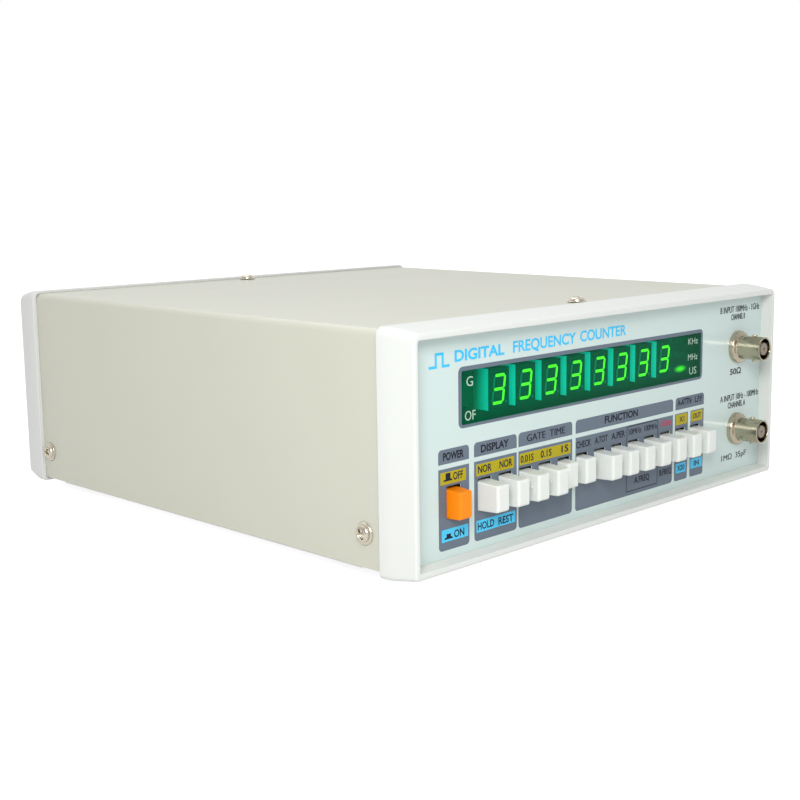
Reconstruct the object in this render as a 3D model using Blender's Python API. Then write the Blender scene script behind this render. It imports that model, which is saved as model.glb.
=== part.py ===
"""A bench frequency counter with an eight-digit LED display, as separate sub-parts.

Dimensions are in millimetres, and MM turns them into metres. Places are given as
(x, depth, height): x across from the middle, depth back from the front bezel's rim and
height up from the bezels' underside. The part's origin is on the bench under the middle
of the object, with +X to the right as seen from the front, +Y to the back and +Z up.
"""

import math

import bmesh
import bpy
from mathutils import Matrix, Vector

MM = 0.001
GAP = 0.3  # clearance between pieces that touch or nearly touch
SHEET = 1.2  # thickness of the sheet metal

# The case
CASE_WIDTH = 215.0
CASE_HEIGHT = 80.0
CASE_DEPTH = 236.0
FOOT_DROP = 2.5  # the feet stand this far below the bezels
CORNER_STEPS = 4
BARREL_REACH = 7.9  # the BNC barrels stand this far in front of the bezel's rim
FRONT_Y = (BARREL_REACH - CASE_DEPTH) / 2

# Bezels: an inset is measured inwards from the case's width and height
FRONT_BEZEL_DEPTH = 15.2
REAR_BEZEL_DEPTH = 14.4
COVER_TUCK = 2.5  # the cover reaches this far into a bezel
COVER_POCKET = (1.4, 0.7)  # side and top inset of the pocket that takes the cover
PANEL_POCKET = (2.5, 2.0)  # side and top inset of the pocket that takes a panel
PANEL_SEAT = 5.2  # depth of the lip that a panel rests against
PANEL_OPENING = (3.9, 4.3)
REAR_OPENING = (6.0, 6.0)

# Cover and chassis
COVER_HALF = CASE_WIDTH / 2 - 1.7
COVER_TOP = CASE_HEIGHT - 1.0
COVER_BOTTOM = 1.6
COVER_BEND = 2.6
CHASSIS_HALF = COVER_HALF - SHEET - GAP
CHASSIS_BOTTOM = 3.9
CHASSIS_FLANGE_TOP = 24.0
CHASSIS_BEND = 1.5
HEM_BOTTOM = 0.6  # the chassis's side hems show below the cover
HEM_ENDS = (27.0, 209.0)

# Screws
SIDE_SCREW_HEIGHT = 13.0
FRONT_SCREW_DEPTH = 23.4
REAR_SCREW_DEPTH = 217.0
TOP_SCREWS = {"front": (2.9, FRONT_SCREW_DEPTH), "rear": (0.0, REAR_SCREW_DEPTH)}
SCREW_HOLE_RADIUS = 1.8
SCREW_SHANK_RADIUS = 1.5
SCREW_REACH = 5.0
WASHER_RADIUS = 3.75
SCREW_HEAD_RADIUS = 2.9
SCREW_HEAD_TOP = 2.0  # above the cover

# Panel, film and window
PANEL_FRONT = PANEL_SEAT + GAP
PANEL_BACK = PANEL_FRONT + 2.0
FILM_FRONT = 4.9
FILM_BACK = PANEL_FRONT - GAP
WINDOW = (-80.0, 57.4, 46.6, 64.1)  # visible left, right, low and high
WINDOW_FLANGE = 2.0

# Buttons
CAP_WIDTH = 6.5  # where it goes through the film
CAP_HEIGHT = 9.8
CAP_FACE = (5.95, 9.1)  # width and height at the front, before the chamfer
CAP_TAPER_LENGTH = 8.6
CAP_LENGTH = 12.7
CAP_CHAMFER = 0.9
PLUNGER_SIDE = 3.6
PLUNGER_END = 33.7  # behind the cap's face
BUTTON_HEIGHT = 22.0
BUTTON_PITCH = 10.35
FIRST_BUTTON_X = -69.25
OUT_FACE = -3.7  # depth of a released cap's face
TRAVEL = 3.9
POWER_X = -84.0
POWER_IN_FACE = -0.8
SLOT_WIDTH = CAP_WIDTH + 2 * GAP
SLOT_HEIGHT = CAP_HEIGHT + 1.2
SWITCH_FRONT = 15.0
SWITCH_BACK = 40.0
SWITCH_BORE_END = 36.0
SWITCH_TOP = 29.3

# Display
DIGIT_COUNT = 8
DIGIT_LEFT = -62.95
DIGIT_PITCH = 13.76
DIGIT_SIZE = (10.1, 7.0, 13.9)
DIGIT_FRONT = 8.5
DIGIT_LOW = 48.6
BOARD_THICKNESS = 1.6
DISPLAY_BOARD = (-88.0, 77.0, 43.0, 72.0)  # left, right, low and high
UNIT_LED_X = 48.4
UNIT_LED_HEIGHTS = (50.5, 56.0, 61.7)
UNIT_LED_FRONT = 7.9
STATUS_LED_X = -71.5
STATUS_LED_HEIGHTS = (49.5, 60.5)
STATUS_LED_FRONT = 12.0
LED_SIZE = (5.0, 2.0)

# BNC sockets
BNC_X = 85.2
BNC_HEIGHTS = {"b": 55.9, "a": 22.0}
BARREL_RADIUS = 4.8
BORE_RADIUS = 4.1
BORE_DEPTH = 9.5
POST_RADIUS = 2.5
POST_RECESS = 0.3
BNC_FLANGE_RADIUS = 6.6
BNC_FLANGE = 2.4
THREAD_RADIUS = 4.6
LUG_RADIUS = 1.0
LUG_SPAN = 11.0
LUG_FROM_MOUTH = 4.7
NUT_ACROSS_FLATS = 13.5

# Main board and what stands on it
MAIN_BOARD_LOW = 11.4
MAIN_BOARD_TOP = MAIN_BOARD_LOW + BOARD_THICKNESS
ON_BOARD = MAIN_BOARD_TOP + GAP

# Mains inlet, in the rear panel
INLET_X = 62.0
INLET_HEIGHT = 40.0
INLET_FLANGE = (34.0, 42.0, 2.2)
INLET_BODY = (27.0, 36.0)
INLET_DEPTH = 24.0
SOCKET_HEIGHT = INLET_HEIGHT + 6.5
SOCKET_SIZE = (24.2, 16.3, 16.0)
PIN_SIZE = (2.0, 4.0, 14.0)
PIN_PLACES = ((-7.0, -2.0), (7.0, -2.0), (0.0, 2.0))
DRAWER_HEIGHT = INLET_HEIGHT - 12.5
DRAWER_SIZE = (20.0, 8.4, 17.0)
DRAWER_LIP = 1.2
REAR_PANEL_BACK = CASE_DEPTH - PANEL_SEAT - GAP
REAR_PANEL_FRONT = REAR_PANEL_BACK - 2.2
INLET_BACK = REAR_PANEL_BACK + GAP + INLET_FLANGE[2]


def place(x, depth, height):
    return Vector((x, depth + FRONT_Y, height + FOOT_DROP)) * MM


def material(name, colour, roughness=0.5, metallic=0.0):
    made = bpy.data.materials.new(name)
    made.use_nodes = True
    surface = made.node_tree.nodes["Principled BSDF"]
    surface.inputs["Base Color"].default_value = (*colour, 1.0)
    surface.inputs["Roughness"].default_value = roughness
    surface.inputs["Metallic"].default_value = metallic
    return made


# Shapes: each returns a bmesh in millimetres, as (x, depth, height)


def loft(rings, closed=False):
    """Skins a list of rings, each a list of points of the same count."""
    shape = bmesh.new()
    rows = [[shape.verts.new(point) for point in ring] for ring in rings]
    pairs = list(zip(rows, rows[1:]))
    if closed:
        pairs.append((rows[-1], rows[0]))
    else:
        shape.faces.new(rows[0])
        shape.faces.new(rows[-1])
    for row, following in pairs:
        for i in range(len(row)):
            j = (i + 1) % len(row)
            shape.faces.new((row[i], row[j], following[j], following[i]))
    bmesh.ops.recalc_face_normals(shape, faces=shape.faces)
    return shape


def extrusion(outline, axis, start, stop):
    """A prism of an outline drawn across one axis: x, depth or height."""

    def point(a, b, along):
        return {"x": (along, a, b), "depth": (a, along, b), "height": (a, b, along)}[axis]

    return loft([[point(a, b, along) for a, b in outline] for along in (start, stop)])


def box(low, high):
    outline = [(low[0], low[2]), (high[0], low[2]), (high[0], high[2]), (low[0], high[2])]
    return extrusion(outline, "depth", low[1], high[1])


def centred_box(x, height, width, tall, start, stop):
    """A box about a line that runs back at x and height, from depth start to stop."""
    return box(
        (x - width / 2, start, height - tall / 2), (x + width / 2, stop, height + tall / 2)
    )


def circle(radius, steps):
    turns = [2 * math.pi * (i + 0.5) / steps for i in range(steps)]
    return [(radius * math.cos(turn), radius * math.sin(turn)) for turn in turns]


def turned(profile, axis, centre, steps):
    """A turned piece from (radius, along) points, whose first and last are flat faces."""
    x, depth, height = centre
    rings = []
    for radius, along in profile:
        around = circle(radius, steps)
        if axis == "x":
            rings.append([(x + along, depth + a, height + b) for a, b in around])
        elif axis == "depth":
            rings.append([(x + a, depth + along, height + b) for a, b in around])
        else:
            rings.append([(x + a, depth + b, height + along) for a, b in around])
    return loft(rings)


def rounded_rectangle(left, right, low, high, radius):
    """Points round a rectangle in (x, height), with an arc at each corner."""
    corners = (
        (right - radius, high - radius, 0),
        (left + radius, high - radius, 1),
        (left + radius, low + radius, 2),
        (right - radius, low + radius, 3),
    )
    points = []
    for x, height, quarter in corners:
        for step in range(CORNER_STEPS + 1):
            turn = math.pi / 2 * (quarter + step / CORNER_STEPS)
            points.append((x + radius * math.cos(turn), height + radius * math.sin(turn)))
    return points


def case_section(depth, side_inset, top_inset, radius):
    """A ring at this depth, this far inside the case's outer width and height."""
    half = CASE_WIDTH / 2 - side_inset
    outline = rounded_rectangle(-half, half, top_inset, CASE_HEIGHT - top_inset, radius)
    return [(x, depth, height) for x, height in outline]


def merged(shapes):
    """Several shapes in one bmesh, as the separate bodies of one cutter."""
    mesh = bpy.data.meshes.new("merged")
    whole = bmesh.new()
    for shape in shapes:
        shape.to_mesh(mesh)
        whole.from_mesh(mesh)
        shape.free()
    bpy.data.meshes.remove(mesh)
    return whole


# Objects


def add(name, shape, finish, origin=(0.0, 0.0, 0.0), smooth=False):
    """An object with its origin at this place, and the shape where it was drawn."""
    shape.transform(Matrix.Translation(-Vector(origin)))
    shape.transform(Matrix.Scale(MM, 4))
    mesh = bpy.data.meshes.new(name)
    shape.to_mesh(mesh)
    shape.free()
    if smooth:
        mesh.shade_smooth()
        mesh.set_sharp_from_angle(angle=math.radians(35))
    if finish:
        mesh.materials.append(finish)
    made = bpy.data.objects.new(name, mesh)
    made.location = place(*origin)
    bpy.context.scene.collection.objects.link(made)
    return made


def helper(name, shape):
    made = add(name, shape, None)
    made.hide_render = True
    made.display_type = "WIRE"
    return made


def combine(target, other, operation):
    step = target.modifiers.new(other.name, "BOOLEAN")
    step.operation = operation
    step.object = other
    step.solver = "EXACT"


def cut(target, shape, name):
    combine(target, helper(name, shape), "DIFFERENCE")


def join(target, shape, name):
    combine(target, helper(name, shape), "UNION")


# Case


def screw_tab(target, name, depths, riser_depths, screw_place):
    """The moulded tab under the cover's top that takes a top screw."""
    tab_top = COVER_TOP - SHEET - GAP
    tab = box((-6, depths[0], tab_top - 3.3), (6, depths[1], tab_top))
    riser = box((-6, riser_depths[0], tab_top - 3), (6, riser_depths[1], CASE_HEIGHT - 1.4))
    join(target, tab, name + "_tab")
    join(target, riser, name + "_tab_riser")
    hole = [(SCREW_HOLE_RADIUS, -8), (SCREW_HOLE_RADIUS, 0.5)]
    cut(target, turned(hole, "height", (*screw_place, tab_top), 10), name + "_tab_hole")


def front_bezel(finish):
    sections = [
        # depth, side inset, top inset, corner radius: back along the outside
        (0.0, 2.4, 2.4, 2.3),
        (0.35, 1.85, 1.85, 2.7),
        (1.1, 1.45, 1.45, 3.0),
        (FRONT_BEZEL_DEPTH - 4.0, 0.0, 0.0, 3.2),
        (FRONT_BEZEL_DEPTH - 0.5, 0.0, 0.0, 3.2),
        (FRONT_BEZEL_DEPTH, 0.3, 0.3, 3.0),
        # forward along the inside
        (FRONT_BEZEL_DEPTH, *COVER_POCKET, 1.5),
        (FRONT_BEZEL_DEPTH - COVER_TUCK, *COVER_POCKET, 1.5),
        (FRONT_BEZEL_DEPTH - COVER_TUCK, *PANEL_POCKET, 2.0),
        (PANEL_SEAT, *PANEL_POCKET, 2.0),
        (PANEL_SEAT, *PANEL_OPENING, 1.5),
        (0.8, 3.3, 3.65, 1.8),
        (0.0, 2.8, 3.1, 2.0),
    ]
    rings = [case_section(*section) for section in sections]
    bezel = add("front_bezel", loft(rings, closed=True), finish, smooth=True)
    screw_tab(bezel, "front_bezel", (9.0, 28.5), (9.0, 12.4), TOP_SCREWS["front"])


def rear_bezel(finish):
    sections = [
        # distance from the back, side inset, top inset, corner radius
        (0.0, 3.4, 3.4, 3.2),
        (0.5, 2.4, 2.4, 3.4),
        (1.6, 1.75, 1.75, 3.6),
        (REAR_BEZEL_DEPTH - 4.0, 0.0, 0.0, 3.2),
        (REAR_BEZEL_DEPTH - 0.5, 0.0, 0.0, 3.2),
        (REAR_BEZEL_DEPTH, 0.3, 0.3, 3.0),
        (REAR_BEZEL_DEPTH, *COVER_POCKET, 1.5),
        (REAR_BEZEL_DEPTH - COVER_TUCK, *COVER_POCKET, 1.5),
        (REAR_BEZEL_DEPTH - COVER_TUCK, *PANEL_POCKET, 2.0),
        (PANEL_SEAT, *PANEL_POCKET, 2.0),
        (PANEL_SEAT, *REAR_OPENING, 1.5),
        (0.8, 5.4, 5.4, 1.8),
        (0.0, 4.8, 4.8, 2.0),
    ]
    rings = [case_section(CASE_DEPTH - back, *rest) for back, *rest in sections]
    bezel = add("rear_bezel", loft(rings, closed=True), finish, smooth=True)
    screw_tab(bezel, "rear_bezel", (211.5, 227.5), (224.5, 227.5), TOP_SCREWS["rear"])


def bend_points(centre_x, centre_height, radius, first_quarter, turn):
    """An arc of a quarter turn in (x, height); turn is 1 for left-handed, -1 for right."""
    points = []
    for step in range(CORNER_STEPS + 1):
        angle = math.pi / 2 * (first_quarter + turn * step / CORNER_STEPS)
        points.append(
            (centre_x + radius * math.cos(angle), centre_height + radius * math.sin(angle))
        )
    return points


def screw_holes():
    """Cylinders through both sides of the case, at the two side screws' depths."""
    reach = COVER_HALF + 1
    through = [(SCREW_HOLE_RADIUS, -reach), (SCREW_HOLE_RADIUS, reach)]
    depths = (FRONT_SCREW_DEPTH, REAR_SCREW_DEPTH)
    return [turned(through, "x", (0, depth, SIDE_SCREW_HEIGHT), 10) for depth in depths]


def top_cover(finish):
    bend_x = COVER_HALF - COVER_BEND
    bend_height = COVER_TOP - COVER_BEND
    inner_bend = COVER_BEND - SHEET
    outline = [(-COVER_HALF, COVER_BOTTOM)]
    outline += bend_points(-bend_x, bend_height, COVER_BEND, 2, -1)
    outline += bend_points(bend_x, bend_height, COVER_BEND, 1, -1)
    outline += [(COVER_HALF, COVER_BOTTOM), (COVER_HALF - SHEET, COVER_BOTTOM)]
    outline += bend_points(bend_x, bend_height, inner_bend, 0, 1)
    outline += bend_points(-bend_x, bend_height, inner_bend, 1, 1)
    outline += [(SHEET - COVER_HALF, COVER_BOTTOM)]
    start = FRONT_BEZEL_DEPTH - COVER_TUCK + GAP
    stop = CASE_DEPTH - REAR_BEZEL_DEPTH + COVER_TUCK - GAP
    cover = add("top_cover", extrusion(outline, "depth", start, stop), finish, smooth=True)
    down = [(SCREW_HOLE_RADIUS, -4), (SCREW_HOLE_RADIUS, 2)]
    holes = [turned(down, "height", (*at, COVER_TOP), 10) for at in TOP_SCREWS.values()]
    cut(cover, merged(holes + screw_holes()), "top_cover_holes")


def bottom_chassis(finish):
    bend_x = CHASSIS_HALF - CHASSIS_BEND
    bend_height = CHASSIS_BOTTOM + CHASSIS_BEND
    inner_bend = CHASSIS_BEND - SHEET
    outline = [(-CHASSIS_HALF, CHASSIS_FLANGE_TOP)]
    outline += bend_points(-bend_x, bend_height, CHASSIS_BEND, 2, 1)
    outline += bend_points(bend_x, bend_height, CHASSIS_BEND, 3, 1)
    outline += [(CHASSIS_HALF, CHASSIS_FLANGE_TOP)]
    outline += [(CHASSIS_HALF - SHEET, CHASSIS_FLANGE_TOP)]
    outline += bend_points(bend_x, bend_height, inner_bend, 4, -1)
    outline += bend_points(-bend_x, bend_height, inner_bend, 3, -1)
    outline += [(SHEET - CHASSIS_HALF, CHASSIS_FLANGE_TOP)]
    start = PANEL_BACK + 0.7
    stop = REAR_PANEL_FRONT - 0.4
    shape = extrusion(outline, "depth", start, stop)
    chassis = add("bottom_chassis", shape, finish, smooth=True)
    boss = [(3.0, 0.5), (3.0, MAIN_BOARD_LOW - GAP - CHASSIS_BOTTOM)]
    places = [(x, depth) for x in (-88, 88) for depth in (48, 140)]
    bosses = [turned(boss, "height", (x, depth, CHASSIS_BOTTOM), 8) for x, depth in places]
    join(chassis, merged(bosses), "bottom_chassis_bosses")
    hems = []
    for sign in (-1, 1):
        across = sorted((sign * (CHASSIS_HALF - 0.1), sign * (CHASSIS_HALF - SHEET - 0.2)))
        low = (across[0], HEM_ENDS[0], HEM_BOTTOM)
        hems.append(box(low, (across[1], HEM_ENDS[1], CHASSIS_BOTTOM + 3.0)))
    join(chassis, merged(hems), "bottom_chassis_hems")
    cut(chassis, merged(screw_holes()), "bottom_chassis_holes")


def screws(finish):
    def profile(sign):
        return [
            (SCREW_HEAD_RADIUS * 0.62, sign * SCREW_HEAD_TOP),
            (SCREW_HEAD_RADIUS * 0.92, sign * (SCREW_HEAD_TOP - 0.5)),
            (SCREW_HEAD_RADIUS, sign * (GAP + 0.5)),
            (WASHER_RADIUS, sign * (GAP + 0.4)),
            (WASHER_RADIUS, sign * GAP),
            (SCREW_SHANK_RADIUS, sign * GAP),
            (SCREW_SHANK_RADIUS, -sign * SCREW_REACH),
        ]

    for side, sign in (("left", -1), ("right", 1)):
        for end, depth in (("front", FRONT_SCREW_DEPTH), ("rear", REAR_SCREW_DEPTH)):
            centre = (sign * COVER_HALF, depth, SIDE_SCREW_HEIGHT)
            shape = turned(profile(sign), "x", centre, 12)
            add(f"side_screw_{end}_{side}", shape, finish, centre, smooth=True)
    for end, at in TOP_SCREWS.items():
        centre = (*at, COVER_TOP)
        shape = turned(profile(1), "height", centre, 12)
        add(f"top_screw_{end}", shape, finish, centre, smooth=True)


def feet(finish):
    top = CHASSIS_BOTTOM - GAP
    profile = [(6.6, -FOOT_DROP), (7.2, 0.6 - FOOT_DROP), (8.0, top - 0.5), (7.8, top)]
    for side, x in (("left", -90), ("right", 90)):
        for end, depth in (("front", 41), ("rear", 199)):
            centre = (x, depth, 0.0)
            shape = turned(profile, "height", centre, 16)
            add(f"foot_{end}_{side}", shape, finish, centre, smooth=True)


# Front panel and display


def button_places():
    """Name, x, the face's depth at rest and the depth that it is released to."""
    names = (
        "hold reset gate_001s gate_01s gate_1s check total period "
        "freq_10mhz freq_100mhz freq_1ghz attenuator low_pass"
    ).split()
    latched = {"gate_1s", "check"}
    places = [("power", POWER_X, POWER_IN_FACE)]
    for i, name in enumerate(names):
        face = OUT_FACE + TRAVEL if name in latched else OUT_FACE
        places.append((name, FIRST_BUTTON_X + BUTTON_PITCH * i, face))
    return places


def panel_openings(start, stop):
    """What goes through the panel and the film: the buttons and the BNC sockets."""
    shapes = [
        centred_box(x, BUTTON_HEIGHT, SLOT_WIDTH, SLOT_HEIGHT, start, stop)
        for _, x, _ in button_places()
    ]
    bore = [(THREAD_RADIUS + GAP, start), (THREAD_RADIUS + GAP, stop)]
    for height in BNC_HEIGHTS.values():
        shapes.append(turned(bore, "depth", (BNC_X, 0, height), 16))
    return merged(shapes)


def front_panel(finish):
    outline = rounded_rectangle(
        PANEL_POCKET[0] + GAP - CASE_WIDTH / 2,
        CASE_WIDTH / 2 - PANEL_POCKET[0] - GAP,
        PANEL_POCKET[1] + GAP,
        CASE_HEIGHT - PANEL_POCKET[1] - GAP,
        2.0,
    )
    panel = add("front_panel", extrusion(outline, "depth", PANEL_FRONT, PANEL_BACK), finish)
    cut(panel, panel_openings(PANEL_FRONT - 1, PANEL_BACK + 1), "front_panel_openings")
    reach = WINDOW_FLANGE + GAP
    low = (WINDOW[0] - reach, PANEL_FRONT - 1, WINDOW[2] - reach)
    high = (WINDOW[1] + reach, PANEL_BACK + 1, WINDOW[3] + reach)
    cut(panel, box(low, high), "front_panel_window")


def front_film(finish):
    outline = rounded_rectangle(
        PANEL_OPENING[0] + GAP - CASE_WIDTH / 2,
        CASE_WIDTH / 2 - PANEL_OPENING[0] - GAP,
        PANEL_OPENING[1] + GAP,
        CASE_HEIGHT - PANEL_OPENING[1] - GAP,
        1.2,
    )
    film = add("front_film", extrusion(outline, "depth", FILM_FRONT, FILM_BACK), finish)
    cut(film, panel_openings(FILM_FRONT - 1, FILM_BACK + 1), "front_film_openings")
    low = (WINDOW[0], FILM_FRONT - 1, WINDOW[2])
    high = (WINDOW[1], FILM_BACK + 1, WINDOW[3])
    cut(film, box(low, high), "front_film_window")


def display_window(finish):
    """A stepped plate: the face fills the film's opening, the flange sits behind it."""

    def ring(depth, grow):
        left, right = WINDOW[0] - grow, WINDOW[1] + grow
        low, high = WINDOW[2] - grow, WINDOW[3] + grow
        corners = ((left, low), (right, low), (right, high), (left, high))
        return [(x, depth, height) for x, height in corners]

    rings = [
        ring(FILM_FRONT, -GAP),
        ring(PANEL_FRONT, -GAP),
        ring(PANEL_FRONT, WINDOW_FLANGE),
        ring(PANEL_BACK, WINDOW_FLANGE),
    ]
    add("display_window", loft(rings), finish)


def digits(finish):
    width, length, tall = DIGIT_SIZE
    for i in range(DIGIT_COUNT):
        x = DIGIT_LEFT + DIGIT_PITCH * i
        low = (x, DIGIT_FRONT, DIGIT_LOW)
        high = (x + width, DIGIT_FRONT + length, DIGIT_LOW + tall)
        add(f"digit_{i + 1}", box(low, high), finish)


def display_board(finish):
    """The board behind the window, with its five rectangular LEDs soldered on."""
    left, right, low, high = DISPLAY_BOARD
    front = DIGIT_FRONT + DIGIT_SIZE[1] + GAP
    board = add(
        "display_board", box((left, front, low), (right, front + BOARD_THICKNESS, high)), finish
    )
    places = [(UNIT_LED_X, height, UNIT_LED_FRONT) for height in UNIT_LED_HEIGHTS]
    places += [(STATUS_LED_X, height, STATUS_LED_FRONT) for height in STATUS_LED_HEIGHTS]
    shapes = [
        centred_box(x, height, *LED_SIZE, start, front + 0.5) for x, height, start in places
    ]
    join(board, merged(shapes), "display_board_leds")


def ribbon_cable(finish):
    """A flat cable from the display board's back down to the main board."""
    start = DIGIT_FRONT + DIGIT_SIZE[1] + BOARD_THICKNESS + 2 * GAP
    route = [
        (start, 52.0),
        (start + 3.5, 50.5),
        (start + 5.5, 47.0),
        (start + 5.5, 24.0),
        (start + 7.0, 18.5),
        (start + 10.5, ON_BOARD),
    ]
    half = 0.6
    front_side = [(depth - half, height - half) for depth, height in route[1:-1]]
    back_side = [(depth + half, height + half) for depth, height in route[1:-1]]
    top = [(route[0][0], route[0][1] - half), (route[0][0], route[0][1] + half)]
    foot = [(route[-1][0] + half, route[-1][1]), (route[-1][0] - half, route[-1][1])]
    outline = top + back_side + foot + front_side[::-1]
    add("ribbon_cable", extrusion(outline, "x", 64.0, 76.0), finish)


def buttons(finishes):
    half_width, half_height = CAP_WIDTH / 2, CAP_HEIGHT / 2
    face_width, face_height = CAP_FACE[0] / 2, CAP_FACE[1] / 2
    half_plunger = PLUNGER_SIDE / 2
    for name, x, face in button_places():
        rings = []
        for along, a, b in (
            (0.0, face_width - CAP_CHAMFER, face_height - CAP_CHAMFER),
            (CAP_CHAMFER * 0.3, face_width - CAP_CHAMFER * 0.3, face_height - CAP_CHAMFER * 0.3),
            (CAP_CHAMFER, face_width, face_height),
            (CAP_TAPER_LENGTH, half_width, half_height),
            (CAP_LENGTH, half_width, half_height),
            (CAP_LENGTH, half_plunger, half_plunger),
            (PLUNGER_END, half_plunger, half_plunger),
        ):
            corners = ((-a, -b), (a, -b), (a, b), (-a, b))
            rings.append([(x + c, face + along, BUTTON_HEIGHT + d) for c, d in corners])
        finish = finishes["power" if name == "power" else "button"]
        add(f"{name}_button", loft(rings), finish, (x, face, BUTTON_HEIGHT))


def switches(finish):
    """The switch bodies behind the buttons; each takes one bank of plungers."""
    banks = {
        "power_switch": ["power"],
        "display_switches": ["hold", "reset"],
        "gate_switches": ["gate_001s", "gate_01s", "gate_1s"],
        "function_switches": "check total period freq_10mhz freq_100mhz freq_1ghz".split(),
        "input_switches": ["attenuator", "low_pass"],
    }
    across = {name: x for name, x, _ in button_places()}
    bore_side = PLUNGER_SIDE + 2 * GAP
    for bank, names in banks.items():
        places = [across[name] for name in names]
        low = (min(places) - 4.6, SWITCH_FRONT, ON_BOARD)
        high = (max(places) + 4.6, SWITCH_BACK, SWITCH_TOP)
        body = add(bank, box(low, high), finish)
        bores = [
            centred_box(
                x, BUTTON_HEIGHT, bore_side, bore_side, SWITCH_FRONT - 1, SWITCH_BORE_END
            )
            for x in places
        ]
        cut(body, merged(bores), bank + "_bores")


# BNC sockets


def bnc_sockets(finish):
    mouth = -BARREL_REACH
    flange_back = FILM_FRONT - GAP
    flange_front = flange_back - BNC_FLANGE
    profile = [
        (POST_RADIUS, mouth + POST_RECESS),
        (POST_RADIUS, mouth + BORE_DEPTH),
        (BORE_RADIUS, mouth + BORE_DEPTH),
        (BORE_RADIUS, mouth),
        (BARREL_RADIUS, mouth),
        (BARREL_RADIUS, flange_front),
        (BNC_FLANGE_RADIUS - 0.6, flange_front),
        (BNC_FLANGE_RADIUS, flange_front + 0.6),
        (BNC_FLANGE_RADIUS, flange_back),
        (THREAD_RADIUS, flange_back),
        (THREAD_RADIUS, 13.0),
        (1.2, 13.0),
        (1.2, 17.0),
    ]
    for name, height in BNC_HEIGHTS.items():
        socket = add(
            f"bnc_{name}",
            turned(profile, "depth", (BNC_X, 0, height), 16),
            finish,
            (BNC_X, mouth, height),
            smooth=True,
        )
        lugs = []
        for sign in (-1, 1):
            lug = [(LUG_RADIUS, sign * (BARREL_RADIUS - 0.35)), (LUG_RADIUS, sign * LUG_SPAN / 2)]
            centre = (BNC_X, mouth + LUG_FROM_MOUTH, height)
            lugs.append(turned(lug, "height", centre, 8))
        join(socket, merged(lugs), f"bnc_{name}_lugs")


def bnc_nuts(finish):
    """Hexagon nuts behind the panel: rings of twelve points, round inside."""
    corner = NUT_ACROSS_FLATS / 2 / math.cos(math.pi / 6)
    start, stop = PANEL_BACK + GAP, PANEL_BACK + 2.8
    for name, height in BNC_HEIGHTS.items():

        def ring(depth, outer):
            points = []
            for i in range(12):
                turn = math.pi / 6 * i
                flat = corner if i % 2 == 0 else NUT_ACROSS_FLATS / 2
                radius = flat if outer else THREAD_RADIUS + GAP
                across, up = radius * math.cos(turn), radius * math.sin(turn)
                points.append((BNC_X + across, depth, height + up))
            return points

        rings = [ring(start, True), ring(stop, True), ring(stop, False), ring(start, False)]
        add(f"bnc_nut_{name}", loft(rings, closed=True), finish)


# Inside


def main_board(finish):
    add("main_board", box((-96, 14.5, MAIN_BOARD_LOW), (96, 150, MAIN_BOARD_TOP)), finish)


def transformer(finish):
    low_height = CHASSIS_BOTTOM + SHEET + GAP
    core = box((-92, 166, low_height), (-42, 196, low_height + 42))
    body = add("transformer", core, finish)
    winding = box((-83, 158, low_height + 7), (-51, 204, low_height + 35))
    join(body, winding, "transformer_winding")


def regulator_heatsink(finish):
    """A plate with five upright fins, drawn from above and raised from the board."""
    left, front, plate, fin, gap = 40.0, 128.0, 3.0, 2.0, 6.0
    outline = [(left, front), (left, front + 16)]
    for i in range(5):
        start = left + i * (fin + gap)
        outline += [(start + fin, front + 16), (start + fin, front + plate)]
        if i < 4:
            outline += [(start + fin + gap, front + plate), (start + fin + gap, front + 16)]
    outline = outline[:-1] + [(outline[-1][0], front)]
    shape = extrusion(outline, "height", ON_BOARD, ON_BOARD + 30)
    add("regulator_heatsink", shape, finish)


def filter_capacitor(finish):
    profile = [(8.4, 0), (9.0, 0.6), (9.0, 31.4), (8.4, 32)]
    shape = turned(profile, "height", (10, 134, ON_BOARD), 16)
    add("filter_capacitor", shape, finish, smooth=True)


def chamfered_can(low, high, chamfer):
    """A box whose top edges are chamfered, like a drawn can."""
    rings = []
    for height, inset in ((low[2], 0), (high[2] - chamfer, 0), (high[2], chamfer)):
        left, right = low[0] + inset, high[0] - inset
        front, back = low[1] + inset, high[1] - inset
        corners = ((left, front), (right, front), (right, back), (left, back))
        rings.append([(x, depth, height) for x, depth in corners])
    return loft(rings)


def small_cans(finish):
    crystal = chamfered_can((20, 58, ON_BOARD), (40, 71, ON_BOARD + 9), 0.8)
    add("crystal_oscillator", crystal, finish)
    shield = chamfered_can((66, 46, ON_BOARD), (94, 86, ON_BOARD + 16), 0.6)
    add("prescaler_shield", shield, finish)


# Rear


def rear_panel(finish):
    outline = rounded_rectangle(
        PANEL_POCKET[0] + GAP - CASE_WIDTH / 2,
        CASE_WIDTH / 2 - PANEL_POCKET[0] - GAP,
        PANEL_POCKET[1] + GAP,
        CASE_HEIGHT - PANEL_POCKET[1] - GAP,
        2.0,
    )
    shape = extrusion(outline, "depth", REAR_PANEL_FRONT, REAR_PANEL_BACK)
    panel = add("rear_panel", shape, finish)
    start, stop = REAR_PANEL_FRONT - 1, REAR_PANEL_BACK + 1
    width, tall = INLET_BODY[0] + 2 * GAP, INLET_BODY[1] + 2 * GAP
    openings = [centred_box(INLET_X, INLET_HEIGHT, width, tall, start, stop)]
    openings += [centred_box(-84 + 8 * i, 40, 3, 30, start, stop) for i in range(8)]
    cut(panel, merged(openings), "rear_panel_openings")


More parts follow.
